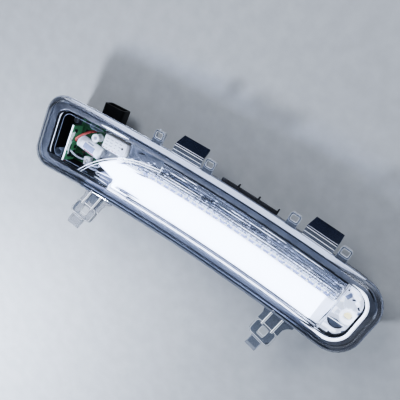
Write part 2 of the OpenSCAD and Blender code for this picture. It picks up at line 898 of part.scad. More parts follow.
module base_board() {
    color("seagreen") difference() {
        translate([0, 0, base_board_z]) linear_extrude(board_t) polygon(bent([
            [base_left, -base_half_w], [base_right, -base_half_w], [base_right, base_tail_near],
            [base_tail_right, base_tail_near], [base_tail_right, base_half_w],
            [base_left, base_half_w]
        ]));
        for (p = board_posts)
            at(p, base_board_z - 1) cylinder(d = screw_d + 0.4, h = board_t + 2, $fn = fine);
    }
}

module upright_board() {
    color("seagreen") at([upright_s, 0], base_top) translate([-board_t / 2, upright_near, 0])
        cube([board_t, upright_far - upright_near, upright_h]);
}

module board_parts() {
    color([0.15, 0.15, 0.17]) {
        // On the upright board
        at([upright_s, 0], base_top) translate([board_t / 2, 0, 0]) {
            for (p = [[2.6, 3], [6.8, 3], [11.4, 3.5], [26, 9]])
                translate([0, upright_near + p[0], p[1]]) cube([1.2, 2.6, 1.6]);
            translate([0, upright_near + 4, 7.5]) cube([1.6, 5, 4]);
        }
        // On the base board
        for (p = [[32, -8], [37, -12.5], [32.4, 8.2], [29.6, 14.4], [43, 15.6]])
            at([left + p[0], p[1]], base_top) cube([3.2, 1.8, 1.1]);
        at([left + 31, -17], base_top) cube([5, 4, 1.5]);
    }
}

// Small white parts on the tab of the diode board
module tab_parts() {
    color("white") for (p = [[1, 2], [3.6, 1.4], [5.6, 3.6], [1.4, 8], [4.6, 8.6]])
        at([tab_left + p[0], tab_near + p[1]], led_board_top) cube([1.5, 0.9, 0.7]);
}

module capacitor() {
    r = capacitor_d / 2;
    color("gainsboro") at(capacitor_from, base_top + r) rotate([0, 0, capacitor_turn]) rotate([0, 90, 0])
        rotate_extrude($fn = fine) polygon([
            [0, 0.5], [r - 1.4, 0.5], [r - 1.2, 0], [r - 0.4, 0], [r, 0.5], [r, 2.6],
            [r - 0.5, 3.2], [r, 3.8], [r, capacitor_len - 0.6], [r - 0.6, capacitor_len],
            [0, capacitor_len]
        ]);
}

module choke() {
    color("white") at(choke_place, base_top) rotate_extrude($fn = fine) polygon([
        [0, 0], [3.6, 0], [3.6, 1.4], [2.8, 2.2], [2.8, 6], [3.6, 6.8], [3.6, 8.2], [0, 8.2]
    ]);
}

module converter() {
    color("white") at(converter_place, base_top) union() {
        rounded_block(converter_size[0], converter_size[1], converter_h - 1, 1);
        translate([0, 0, converter_h - 1])
            rounded_block(converter_size[0] - 1.6, converter_size[1] - 1.6, 1, 0.8);
    }
}

module wire_plug() {
    color("ivory") at(plug_place, base_top) difference() {
        translate([-3, -3.6, 0]) cube([6, 7.2, 5.4]);
        translate([-2, -2.8, 4.2]) cube([4, 5.6, 2]);
    }
}

module red_wire() {
    color("red") wire([
        lift([left + 29.7, -1.8], base_top), lift([left + 29.7, -1.8], base_top + 19),
        lift([left + 41.2, 12.2], base_top + 19), lift([left + 41.2, 12.2], base_top)
    ], red_wire_d);
}

// Two clear sleeved leads that arch from the far side of the board to the choke
module choke_leads() {
    color([0.8, 0.85, 0.9, 0.7]) for (x = [0, 2.2])
        wire([
            lift([left + 36.6 + x, 16.8], base_top), lift([left + 36.6 + x, 16.8], base_top + 11),
            lift([left + 44.4 + x, 14.4], base_top + 13), lift([left + 44.4 + x, 14.4], base_top)
        ], wire_d - 0.2);
}

module lead_wires() {
    color("lightgray") for (v = [4.1, 6.9])
        wire([
            lift(plug_place + [0, v - 5.5], base_top + 4.2), lift(plug_place + [0, v - 5.5], base_top + 12),
            lift([tab_left + 1.4, tab_near + v], led_board_top + 5),
            lift([tab_left + 1.4, tab_near + v], led_board_top)
        ], wire_d);
}

module clear_bush() {
    color([0.9, 0.94, 1, 0.5]) at(bush_place, base_top) difference() {
        cylinder(d = 7.6, h = 11.4, $fn = fine);
        translate([0, 0, -1]) cylinder(d = screw_head_d + 0.6, h = 14, $fn = fine);
    }
}

module screw(place, seat) {
    at(place, seat) {
        difference() {
            cylinder(d = screw_head_d, h = screw_head_t, $fn = fine);
            for (a = [0, 90])
                rotate([0, 0, a]) translate([-1.6, -0.35, screw_head_t - 0.9]) cube([3.2, 0.7, 1]);
        }
        translate([0, 0, -7]) cylinder(d = screw_d - 0.4, h = 7.01, $fn = 24);
    }
}

module screws() {
    color("silver") {
        for (p = board_posts) screw(p, base_top);
        screw(lug_left, sink_top);
        screw(lug_right, sink_top);
    }
}

rear_housing();
lens_seal();
outer_lens();
inner_bezel();
inner_lens();
diffuser();
led_board();
bar_diodes();
thermal_pad();
heat_sink();
side_reflector();
bar_bracket();
end_reflector();
end_divider();
end_board();
end_diode();
base_board();
upright_board();
board_parts();
tab_parts();
capacitor();
choke();
choke_leads();
converter();
wire_plug();
red_wire();
lead_wires();
clear_bush();
ribbed_guide();
screws();
terminal_pins();
vent_cap();
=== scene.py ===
"""Daytime running light: pieces, finishes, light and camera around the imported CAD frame.

Places on the lamp are given as the CAD gives them: s along the bow, v across it and z up, in
millimetres. A piece is modelled straight, in millimetres, and then laid on the bow in metres.
"""

import json
import logging
import math
import random
from dataclasses import dataclass
from enum import Enum
from typing import Callable, Sequence

import bpy
from bpy.types import Material, Node, NodeSocket, NodeTree, Object
from mathutils import Matrix, Vector

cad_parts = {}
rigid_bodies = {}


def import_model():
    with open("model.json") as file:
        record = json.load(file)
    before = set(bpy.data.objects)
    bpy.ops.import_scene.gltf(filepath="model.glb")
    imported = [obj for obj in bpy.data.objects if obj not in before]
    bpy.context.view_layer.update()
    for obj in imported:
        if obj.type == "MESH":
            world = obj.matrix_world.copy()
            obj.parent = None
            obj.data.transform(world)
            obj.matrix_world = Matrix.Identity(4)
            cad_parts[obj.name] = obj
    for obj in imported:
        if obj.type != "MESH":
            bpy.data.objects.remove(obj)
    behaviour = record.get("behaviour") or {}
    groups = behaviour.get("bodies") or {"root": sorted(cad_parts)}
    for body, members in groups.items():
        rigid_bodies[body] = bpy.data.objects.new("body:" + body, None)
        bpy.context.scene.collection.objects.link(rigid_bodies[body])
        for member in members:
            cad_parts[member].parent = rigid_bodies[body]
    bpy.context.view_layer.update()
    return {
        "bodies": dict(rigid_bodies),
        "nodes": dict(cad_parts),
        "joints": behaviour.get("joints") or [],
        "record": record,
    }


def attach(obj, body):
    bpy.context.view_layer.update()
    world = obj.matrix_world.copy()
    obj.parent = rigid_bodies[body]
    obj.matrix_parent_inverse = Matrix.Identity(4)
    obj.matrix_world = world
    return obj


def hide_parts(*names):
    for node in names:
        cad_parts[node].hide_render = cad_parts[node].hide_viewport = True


LOG = logging.getLogger("running_light")
MM = 0.001
Point2 = tuple[float, float]
Point3 = tuple[float, float, float]
Line = Sequence[Point3]


def linear(hex_colour: str) -> tuple[float, float, float, float]:
    """Turn an sRGB hex value such as "#a0b0c0" into a linear colour with full alpha."""
    parts = [int(hex_colour[i : i + 2], 16) / 255 for i in (1, 3, 5)]
    return tuple(
        p / 12.92 if p <= 0.04045 else ((p + 0.055) / 1.055) ** 2.4 for p in parts
    ) + (1.0,)


def evenly(begin: Point3, end: Point3, steps: int) -> list[Point3]:
    """The points that divide a straight line into equal steps, both its ends among them."""
    return [tuple(a + (b - a) * i / steps for a, b in zip(begin, end)) for i in range(steps + 1)]


def wave(s: float, pitch: float) -> float:
    """A ripple along s that rises from 0 to 1 and falls back once in every pitch."""
    return 0.5 - 0.5 * math.cos(2 * math.pi * s / pitch)


def add_node(
    tree: NodeTree, kind: str, settings: dict | None = None, **links: NodeSocket
) -> Node:
    """Add a node, set its values and link its inputs.

    Args:
        tree: the node tree that gets the node.
        kind: Blender's name of the node type.
        settings: attribute names, or socket names, with their values.
        links: input socket names, with _ for a blank, and the output each one is fed from.

    Returns:
        The new node.
    """
    node = tree.nodes.new(kind)
    for name, value in (settings or {}).items():
        if hasattr(node, name):
            setattr(node, name, value)
        else:
            node.inputs[name].default_value = value
    for name, source in links.items():
        key = int(name[1:]) if name[0] == "_" else name.replace("_", " ")
        tree.links.new(source, node.inputs[key])
    return node


class Pattern(Enum):
    """How the surface of a finish is broken up."""

    GRAINED = "grained"
    BRUSHED = "brushed"
    RIBBED = "ribbed"
    TRACKS = "tracks"


@dataclass(frozen=True)
class Skin:
    """What every finish shares: a name, and a material that is built when first asked for."""

    name: str

    def surface(self, tree: NodeTree) -> NodeSocket:
        """Add the finish's nodes to a tree.

        Args:
            tree: the empty node tree of the material.

        Returns:
            The output of the shader that the nodes end in.
        """
        raise NotImplementedError

    def material(self) -> Material:
        """Build the finish's material, or return the one that was built before."""
        made = bpy.data.materials.get(self.name)
        if made is None:
            made = bpy.data.materials.new(self.name)
            made.use_nodes = True
            made.node_tree.nodes.clear()
            shader = self.surface(made.node_tree)
            add_node(made.node_tree, "ShaderNodeOutputMaterial", Surface=shader)
        return made


@dataclass(frozen=True)
class Finish(Skin):
    """An opaque finish: its two colours, how it shines, and the relief on its surface.

    The relief's size is real, in millimetres, and its depth is the height that bump gives it.
    """

    colour: str
    second: str
    roughness: float
    metallic: float = 0.0
    ior: float = 1.5
    coat: float = 0.0
    pattern: Pattern = Pattern.GRAINED
    grain_mm: float = 1.0
    depth_mm: float = 0.01
    glow: float = 0.0
    glow_colour: str = "#ffffff"

    def relief(self, tree: NodeTree) -> tuple[NodeSocket, NodeSocket]:
        """Add the nodes of the finish's pattern.

        Args:
            tree: the node tree of the material.

        Returns:
            Its height and its colour mix, both from 0 to 1.
        """
        place = add_node(tree, "ShaderNodeTexCoord").outputs["Object"]
        stretch = (0.04, 1.0, 1.0) if self.pattern is Pattern.BRUSHED else (1.0, 1.0, 1.0)
        place = add_node(tree, "ShaderNodeMapping", {"Scale": stretch}, Vector=place).outputs[0]
        kind, settings = "ShaderNodeTexNoise", {"Detail": 2.0}
        scale = 1 / (self.grain_mm * MM)
        if self.pattern is Pattern.RIBBED:
            kind, settings, scale = "ShaderNodeTexWave", {"bands_direction": "X"}, scale / 6.2832
        elif self.pattern is Pattern.TRACKS:
            kind, settings = "ShaderNodeTexBrick", {
                "Mortar Size": 0.09, "Brick Width": 2.6, "Row Height": 0.9, "Mortar": (1, 1, 1, 1),
                "Color1": (0.1, 0.1, 0.1, 1), "Color2": (0.4, 0.4, 0.4, 1),
            }
        fine = add_node(tree, kind, settings | {"Scale": scale}, Vector=place).outputs[0]
        if self.pattern is Pattern.TRACKS:
            return fine, fine
        clouds = {"Scale": 1 / (12 * MM), "Detail": 3.0}
        return fine, add_node(tree, "ShaderNodeTexNoise", clouds, Vector=place).outputs[0]

    def surface(self, tree: NodeTree) -> NodeSocket:
        """Add a single shader, coloured and roughened by the relief, as Skin.surface says."""
        height, mix = self.relief(tree)
        ramp = add_node(tree, "ShaderNodeValToRGB", Fac=mix)
        stops = zip(ramp.color_ramp.elements, (0.35, 0.7), (self.colour, self.second))
        for stop, place, colour in stops:
            stop.position, stop.color = place, linear(colour)
        span = {"To Min": self.roughness * 0.85, "To Max": min(self.roughness * 1.2, 1.0)}
        rough = add_node(tree, "ShaderNodeMapRange", span, Value=height)
        depth = {"Strength": 0.6, "Distance": self.depth_mm * MM}
        bump = add_node(tree, "ShaderNodeBump", depth, Height=height)
        look = {"Metallic": self.metallic, "Coat Weight": self.coat,
                "Emission Strength": self.glow, "Emission Color": linear(self.glow_colour)}
        if not self.metallic:
            look["IOR"] = self.ior
        return add_node(
            tree, "ShaderNodeBsdfPrincipled", look,
            Base_Color=ramp.outputs[0], Roughness=rough.outputs[0], Normal=bump.outputs[0],
        ).outputs[0]


@dataclass(frozen=True)
class Clear(Skin):
    """A clear moulded plastic that lets lamps light what is behind it.

    Seen along its surface it turns milky: a painted sheen that stands in for the lamp's own light
    running into an edge, and with milk_glow a painted glow.
    """

    tint: str
    ior: float
    roughness: float
    ripple_mm: float
    depth_mm: float
    milk: float = 0.0
    milk_base: float = 0.25
    milk_colour: str = "#dfe8f6"
    milk_glow: float = 0.0

    def surface(self, tree: NodeTree) -> NodeSocket:
        """Add a clear and a milky shader, mixed by the angle of view, as Skin.surface says."""
        place = add_node(tree, "ShaderNodeTexCoord").outputs["Object"]
        ripples = {"Scale": 1 / (self.ripple_mm * MM), "Detail": 1.0}
        height = add_node(tree, "ShaderNodeTexNoise", ripples, Vector=place).outputs[0]
        depth = {"Strength": 0.5, "Distance": self.depth_mm * MM}
        bump = add_node(tree, "ShaderNodeBump", depth, Height=height).outputs[0]
        tint, milk = linear(self.tint), linear(self.milk_colour)
        looks = (
            {"Base Color": tint, "Roughness": self.roughness, "Transmission Weight": 1.0},
            {"Base Color": milk, "Roughness": 0.3, "Emission Color": milk,
             "Emission Strength": self.milk_glow},
        )
        clear, milky = (
            add_node(tree, "ShaderNodeBsdfPrincipled", look | {"IOR": self.ior}, Normal=bump)
            for look in looks
        )
        facing = add_node(tree, "ShaderNodeLayerWeight", {"Blend": 0.5}).outputs["Facing"]
        span = {"From Min": 0.15, "To Min": self.milk * self.milk_base, "To Max": self.milk}
        share = add_node(tree, "ShaderNodeMapRange", span, Value=facing)
        through = add_node(tree, "ShaderNodeBsdfTransparent", {"Color": tint})
        shadow = add_node(tree, "ShaderNodeLightPath").outputs["Is Shadow Ray"]
        body = add_node(
            tree, "ShaderNodeMixShader",
            _0=share.outputs[0], _1=clear.outputs[0], _2=milky.outputs[0],
        )
        return add_node(
            tree, "ShaderNodeMixShader", _0=shadow, _1=body.outputs[0], _2=through.outputs[0]
        ).outputs[0]


# Clear polycarbonate, moulded and polished: bright edges, faint flow ripples, cool tint
LENS_CLEAR = Clear("polycarbonate_clear", "#f4f8ff", 1.58, 0.015, 18.0, 0.04)
# The same plastic at the flange and the wall, satin, with a grey painted sheen for the light it
# takes up
LENS_RIM = Clear(
    "polycarbonate_rim", "#eceef2", 1.58, 0.12, 6.0, 0.05,
    milk=0.55, milk_base=0.5, milk_colour="#7b818d",
)
# The same plastic in the legs and loops, tinted grey, with bright edges from a pale painted sheen
LENS_CLIP = Clear(
    "polycarbonate_clip", "#8791a1", 1.58, 0.05, 5.0, 0.06,
    milk=0.9, milk_base=0.08, milk_colour="#dde2ea",
)
# The same plastic in the blades of the tongues, tinted dark navy as painted shade for the dark seen
# through them
LENS_BLADE = Clear(
    "polycarbonate_blade", "#34466a", 1.58, 0.08, 5.0, 0.06,
    milk=0.5, milk_base=0.1, milk_colour="#22345a",
)
# The same plastic in the fine ribs along the far wall, with a painted glow for the light from
# inside
RIDGE_LIT = Clear(
    "polycarbonate_ribs_lit", "#eef4ff", 1.5, 0.1, 3.0, 0.03,
    milk=1.0, milk_base=0.5, milk_colour="#ccd6ea", milk_glow=0.5,
)
# Painted highlights: bright beads with a faint glow on its polished edges and corners, where they
# catch the light
EDGE_HIGHLIGHT = Finish(
    "polycarbonate_edge", "#dfe5ee", "#eef2f7", 0.22, ior=1.58, glow=0.3, glow_colour="#e6edf8"
)
# Clear acrylic, moulded with flutes: a little softer than the lens
OPTIC_CLEAR = Clear("acrylic_optic", "#f0f4fb", 1.49, 0.03, 9.0, 0.05, milk=0.12, milk_base=0.0)
# Painted highlights with a painted glow: bright beads and plates for the bar's light caught on
# edges, crests, streaks, facets and round the small lamp
EDGE_LIT = Finish(
    "acrylic_edge_lit", "#f2f5fb", "#f8faff", 0.3, ior=1.49, glow=1.25, glow_colour="#ecf2ff"
)
# The dim copy of the lit edges: painted dim highlight lines in the bay and along the flange, and
# the near ribbed wall painted grey as the shaded copy of the lit far ribs
EDGE_DIM_LIT = Finish("acrylic_edge", "#6d7687", "#808a9c", 0.35, ior=1.49)
# Painted shade: dark lines laid in the grooves between the flutes and in other creases and recesses
GROOVE_SHADE = Finish("acrylic_groove", "#1d222c", "#262c38", 0.5, ior=1.49)
# Beads of acrylic beside the bar, with painted glow: lit, scalloped and a dimmer copy, which also
# draws painted highlight lines
BEAD_LIT = Finish(
    "acrylic_bead_lit", "#bccff2", "#d3e0f8", 0.2, ior=1.49, glow=0.5, glow_colour="#c6d8ff"
)
BEAD_BLUE = Finish(
    "acrylic_scallop", "#8398cf", "#a3b4de", 0.25, ior=1.49, glow=0.3, glow_colour="#9db4f0"
)
BEAD_PALE = Finish(
    "acrylic_bead", "#7f95bd", "#93a7cc", 0.2, ior=1.49, glow=0.12, glow_colour="#a9bfe8"
)
# A ribbed acrylic piece at the end of the bar, grey with a faint painted glow; the same grey draws
# painted shade lines by the bar's left end and the near hatch band
GUIDE_AND_SHADE_GREY = Finish(
    "acrylic_guide", "#6f7890", "#8790a8", 0.25, ior=1.49, glow=0.1, glow_colour="#c8d2ea"
)
# Milky acrylic, lit by the diodes below: an even cool white
DIFFUSER_LIT = Finish(
    "milky_acrylic_lit", "#f4f8ff", "#eef4ff", 0.35, ior=1.49, glow=3.6, glow_colour="#edf3ff"
)
# Polypropylene with talc, moulded in a spark-eroded tool: black, with a fine even grain
HOUSING_BLACK = Finish(
    "polypropylene_black", "#0b0b0d", "#121315", 0.42, grain_mm=0.5, depth_mm=0.04
)
# Silicone bead, grey, seen through the lens
SEAL_GREY = Finish("silicone_bead", "#4a515e", "#59616f", 0.55, grain_mm=0.9, depth_mm=0.05)
# Polycarbonate with a satin blue-grey metal coat: reads as a cool rim under the lens
BEZEL_SATIN = Finish(
    "coated_bezel", "#4e525b", "#60656e", 0.34, metallic=0.3, pattern=Pattern.RIBBED, depth_mm=0.04
)
# Painted shade: the same coat darkened inside the window; it also colours the dark plates laid as
# painted shade in the bowl's slot and at the end of the bay
BEZEL_SHADE = Finish(
    "coated_bezel_dark", "#14171d", "#1d222b", 0.4, metallic=0.2, grain_mm=1.2, depth_mm=0.03
)
# Painted light: the same coat with a painted glow where the bar lights it, on the near slope fully
# and half lit towards its ends, and brightest beside the bar
BEZEL_NEAR_LIT = Finish(
    "coated_bezel_near", "#8490a8", "#95a0b6", 0.34, glow=0.22, glow_colour="#a9bce6",
    grain_mm=2.0, depth_mm=0.02,
)
BEZEL_HALF_LIT = Finish(
    "coated_bezel_mid", "#68728a", "#788299", 0.34, glow=0.08, glow_colour="#a9bce6",
    grain_mm=2.0, depth_mm=0.02,
)
BEZEL_LIT = Finish(
    "coated_bezel_lit", "#eef3ff", "#f8faff", 0.3, glow=0.8, glow_colour="#eef3ff", grain_mm=2.0
)
# Solder masks: black, white on an aluminium board, and green over copper tracks on glass fibre
BOARD_BLACK = Finish(
    "black_solder_mask", "#0d0f12", "#1a1d22", 0.35, coat=0.3, pattern=Pattern.TRACKS,
    grain_mm=1.6, depth_mm=0.02,
)
BOARD_WHITE = Finish(
    "white_solder_mask", "#ecebe4", "#f6f6f2", 0.4, pattern=Pattern.TRACKS,
    grain_mm=3.0, depth_mm=0.03,
)
BOARD_GREEN = Finish(
    "green_solder_mask", "#0f6e3c", "#177f4a", 0.3, coat=0.3, pattern=Pattern.TRACKS,
    grain_mm=2.4, depth_mm=0.035,
)
# Painted light on the upright board: its face a lit copy of the green mask with a faint painted
# glow, and a painted highlight as a pale glowing strip along its top
BOARD_LEAF = Finish(
    "solder_mask_lit", "#16804c", "#27965f", 0.3, glow=0.12, glow_colour="#4fd092", grain_mm=1.4
)
BOARD_HIGHLIGHT = Finish(
    "tinned_ground_plane", "#b9d8cb", "#e6f2ee", 0.3, glow=0.4, glow_colour="#dff0ec",
    pattern=Pattern.TRACKS, grain_mm=2.0, depth_mm=0.02,
)
# Phosphor in clear silicone, lit, and dimly lit
PHOSPHOR = Finish("phosphor_lit", "#f6d874", "#ffe9a0", 0.4, glow=6.0, glow_colour="#fff4d8")
PHOSPHOR_DIM = Finish("phosphor_dim", "#e2d69a", "#efe4b4", 0.4, glow=0.9, glow_colour="#fff0c0")
# Silicone gap pad
PAD_GREY = Finish("silicone_pad", "#6a6f73", "#7c8185", 0.7, grain_mm=0.6, depth_mm=0.05)
# Extruded aluminium, with die lines along its length
SINK_ALUMINIUM = Finish(
    "extruded_aluminium", "#b8babd", "#cccdcf", 0.32, metallic=1.0, pattern=Pattern.BRUSHED,
    grain_mm=0.5, depth_mm=0.03,
)
# Plastic with a vapour-deposited aluminium mirror, under the flutes
TROUGH_COAT = Finish(
    "aluminised_trough", "#4a505b", "#626975", 0.34, metallic=0.5, grain_mm=5.0, depth_mm=0.03
)
# The same mirror in the round end, with a painted glow for its small lamp's light, and its facets
# coloured by what they mirror as painted reflections, pale and dark, with a grey painted shade
BOWL_COAT = Finish(
    "aluminised_bowl", "#c3cbd9", "#dde3ee", 0.2, metallic=0.4, glow=0.75, glow_colour="#e6ecf9",
    grain_mm=6.0, depth_mm=0.02,
)
FACET_PAINTED_PALE = Finish(
    "aluminised_facet_pale", "#93a1ba", "#aab6cb", 0.2, metallic=0.5, grain_mm=5.0, depth_mm=0.02
)
FACET_PAINTED_DARK = Finish(
    "aluminised_facet", "#26324b", "#3a4866", 0.18, metallic=0.5, grain_mm=5.0, depth_mm=0.02
)
FACET_GREY = Finish("aluminised_shade", "#59626f", "#6c7582", 0.3, grain_mm=5.0, depth_mm=0.02)
# White ABS, moulded, with a soft gloss and a faint painted glow, and the same beside the bar with a
# strong painted glow for the bar's light on it
WHITE_ABS = Finish(
    "abs_white", "#e9ebef", "#f3f4f7", 0.34, glow=0.08, grain_mm=1.2, depth_mm=0.02
)
ABS_LIT = Finish(
    "abs_white_lit", "#eceef2", "#f6f7f9", 0.34, glow=0.9, glow_colour="#f0f4ff",
    grain_mm=1.2, depth_mm=0.02,
)
# Black moulded chip packages
CHIP_BLACK = Finish("epoxy_chip", "#16171a", "#232428", 0.5, grain_mm=0.4, depth_mm=0.02)
# Brown ceramic
CERAMIC_BROWN = Finish("ceramic_brown", "#6d4a36", "#8a6048", 0.45, grain_mm=0.5, depth_mm=0.02)
# Shrink sleeve on a capacitor, with a faint painted glow
SLEEVE_WHITE = Finish(
    "shrink_sleeve", "#e8ecf4", "#f6f8fc", 0.22, coat=0.4, glow=0.06, grain_mm=4.0, depth_mm=0.03
)
# Printed fields: plain blue grey, plain pink, plain grey
PRINT_BLUE = Finish(
    "print_blue_grey", "#7384ad", "#8fa0c6", 0.25, coat=0.4, grain_mm=4.0, depth_mm=0.03
)
PRINT_PINK = Finish(
    "print_pink", "#bd3f68", "#d25f85", 0.25, coat=0.4, grain_mm=4.0, depth_mm=0.03
)
PRINT_GREY = Finish("print_grey", "#8f96a8", "#a6adbd", 0.4, grain_mm=2.0)
# PVC insulation
WIRE_RED = Finish("pvc_red", "#a80009", "#b80612", 0.5, grain_mm=2.0, depth_mm=0.02)
WIRE_GREY = Finish(
    "pvc_pale_grey", "#a9b0bb", "#c0c6d0", 0.3, coat=0.2, grain_mm=2.0, depth_mm=0.02
)
# Clear sleeve over thin leads
SLEEVE_CLEAR = Clear(
    "clear_sleeve", "#dfe8f4", 1.45, 0.08, 3.0, 0.03, milk=0.7, milk_colour="#b9c4d6"
)
# Zinc-plated steel, tinned brass and solder
ZINC_STEEL = Finish(
    "zinc_steel", "#b4b7bd", "#c9ccd2", 0.28, metallic=1.0, grain_mm=0.8, depth_mm=0.02
)
TINNED_BRASS = Finish(
    "tinned_brass", "#c8a45c", "#d6ba7c", 0.25, metallic=1.0, grain_mm=0.8, depth_mm=0.02
)
SOLDER = Finish("tin_solder", "#c4c7cb", "#d8dade", 0.2, metallic=1.0, grain_mm=0.6, depth_mm=0.03)
# Nylon, natural
NYLON = Finish("nylon_natural", "#e4dcc4", "#efe9d6", 0.4, depth_mm=0.02)
# Painted studio floor, pale and matt
FLOOR = Finish("pale_floor", "#c3c8cd", "#cbd0d5", 0.6, grain_mm=3.0, depth_mm=0.03)


@dataclass(frozen=True)
class Bow:
    """The gentle curve that the lamp is drawn along, as in the CAD."""

    radius: float = 1600.0

    def point(self, s: float, v: float, z: float) -> Vector:
        """A place on the lamp, from millimetres to a point of the row frame in metres."""
        turn = s / self.radius
        reach = self.radius + v
        return Vector((reach * math.sin(turn), reach * math.cos(turn) - self.radius, z)) * MM

    def lay(self, obj: Object) -> Object:
        """Lay a piece that was modelled straight, in millimetres, on the bow in metres."""
        for vertex in obj.data.vertices:
            vertex.co = self.point(*vertex.co)
        obj.data.update()
        return obj

    def unbend(self, place: Vector) -> Point3:
        """A point of the row frame in metres, as s, v and z in millimetres."""
        x, y = place.x / MM, place.y / MM + self.radius
        return (self.radius * math.atan2(x, y), math.hypot(x, y) - self.radius, place.z / MM)


@dataclass(frozen=True)
class Outline:
    """The rounded outline of the lens flange, as in the CAD."""

    half_len: float = 155.0
    half_w: float = 32.0
    corner_left: float = 16.0
    corner_right: float = 22.0

    def depth(self, s: float, v: float) -> float:
        """How far inside the outline a place is."""
        r = self.corner_right if s > 0 else self.corner_left
        a, b = abs(s) - self.half_len + r, abs(v) - self.half_w + r
        return r - math.hypot(a, b) if a > 0 and b > 0 else r - max(a, b)

    def ring(
        self, inset: float, z: float, ends: Point2 = (0.0, 0.0), steps: int = 10
    ) -> list[Point3]:
        """The outline drawn inward by inset, and by ends more at its two ends.

        Args:
            inset: how far inside the flange's edge the ring lies.
            z: its height.
            ends: how much further in it lies at the left and the right end.
            steps: how many pieces each corner has.

        Returns:
            Its points, from the right end over the far side, the left end and the near side.
        """
        low, high = -self.half_len + inset + ends[0], self.half_len - inset - ends[1]
        b = self.half_w - inset
        rl, rr = (max(r - inset * 0.8, 2) for r in (self.corner_left, self.corner_right))

        def corner(s: float, v: float, r: float, start: int) -> list[Point3]:
            angles = [math.radians(start + 90 * i / steps) for i in range(steps + 1)]
            return [(s + r * math.cos(a), v + r * math.sin(a), z) for a in angles]

        def side(begin: float, end: float, v: float) -> list[Point3]:
            return [(begin + (end - begin) * i / 40, v, z) for i in range(1, 40)]

        left, right = low + rl, high - rr
        far = corner(right, b - rr, rr, 0) + side(right, left, b) + corner(left, b - rl, rl, 90)
        near = corner(left, rl - b, rl, 180) + side(left, right, -b)
        return far + near + corner(right, rr - b, rr, 270)

    @staticmethod
    def run(points: Line, keep: Callable[[float, float, float], bool]) -> list[Point3]:
        """Cut one unbroken run out of a ring.

        Args:
            points: the ring's points.
            keep: tells from s, v and z whether a point belongs to the run.

        Returns:
            The run's points, in the ring's order.
        """
        first = next(i for i, p in enumerate(points) if keep(*p) and not keep(*points[i - 1]))
        turned = list(points[first:]) + list(points[:first])
        last = next((i for i, p in enumerate(turned) if not keep(*p)), len(turned))
        return turned[:last]


BOW = Bow()
OUTLINE = Outline()


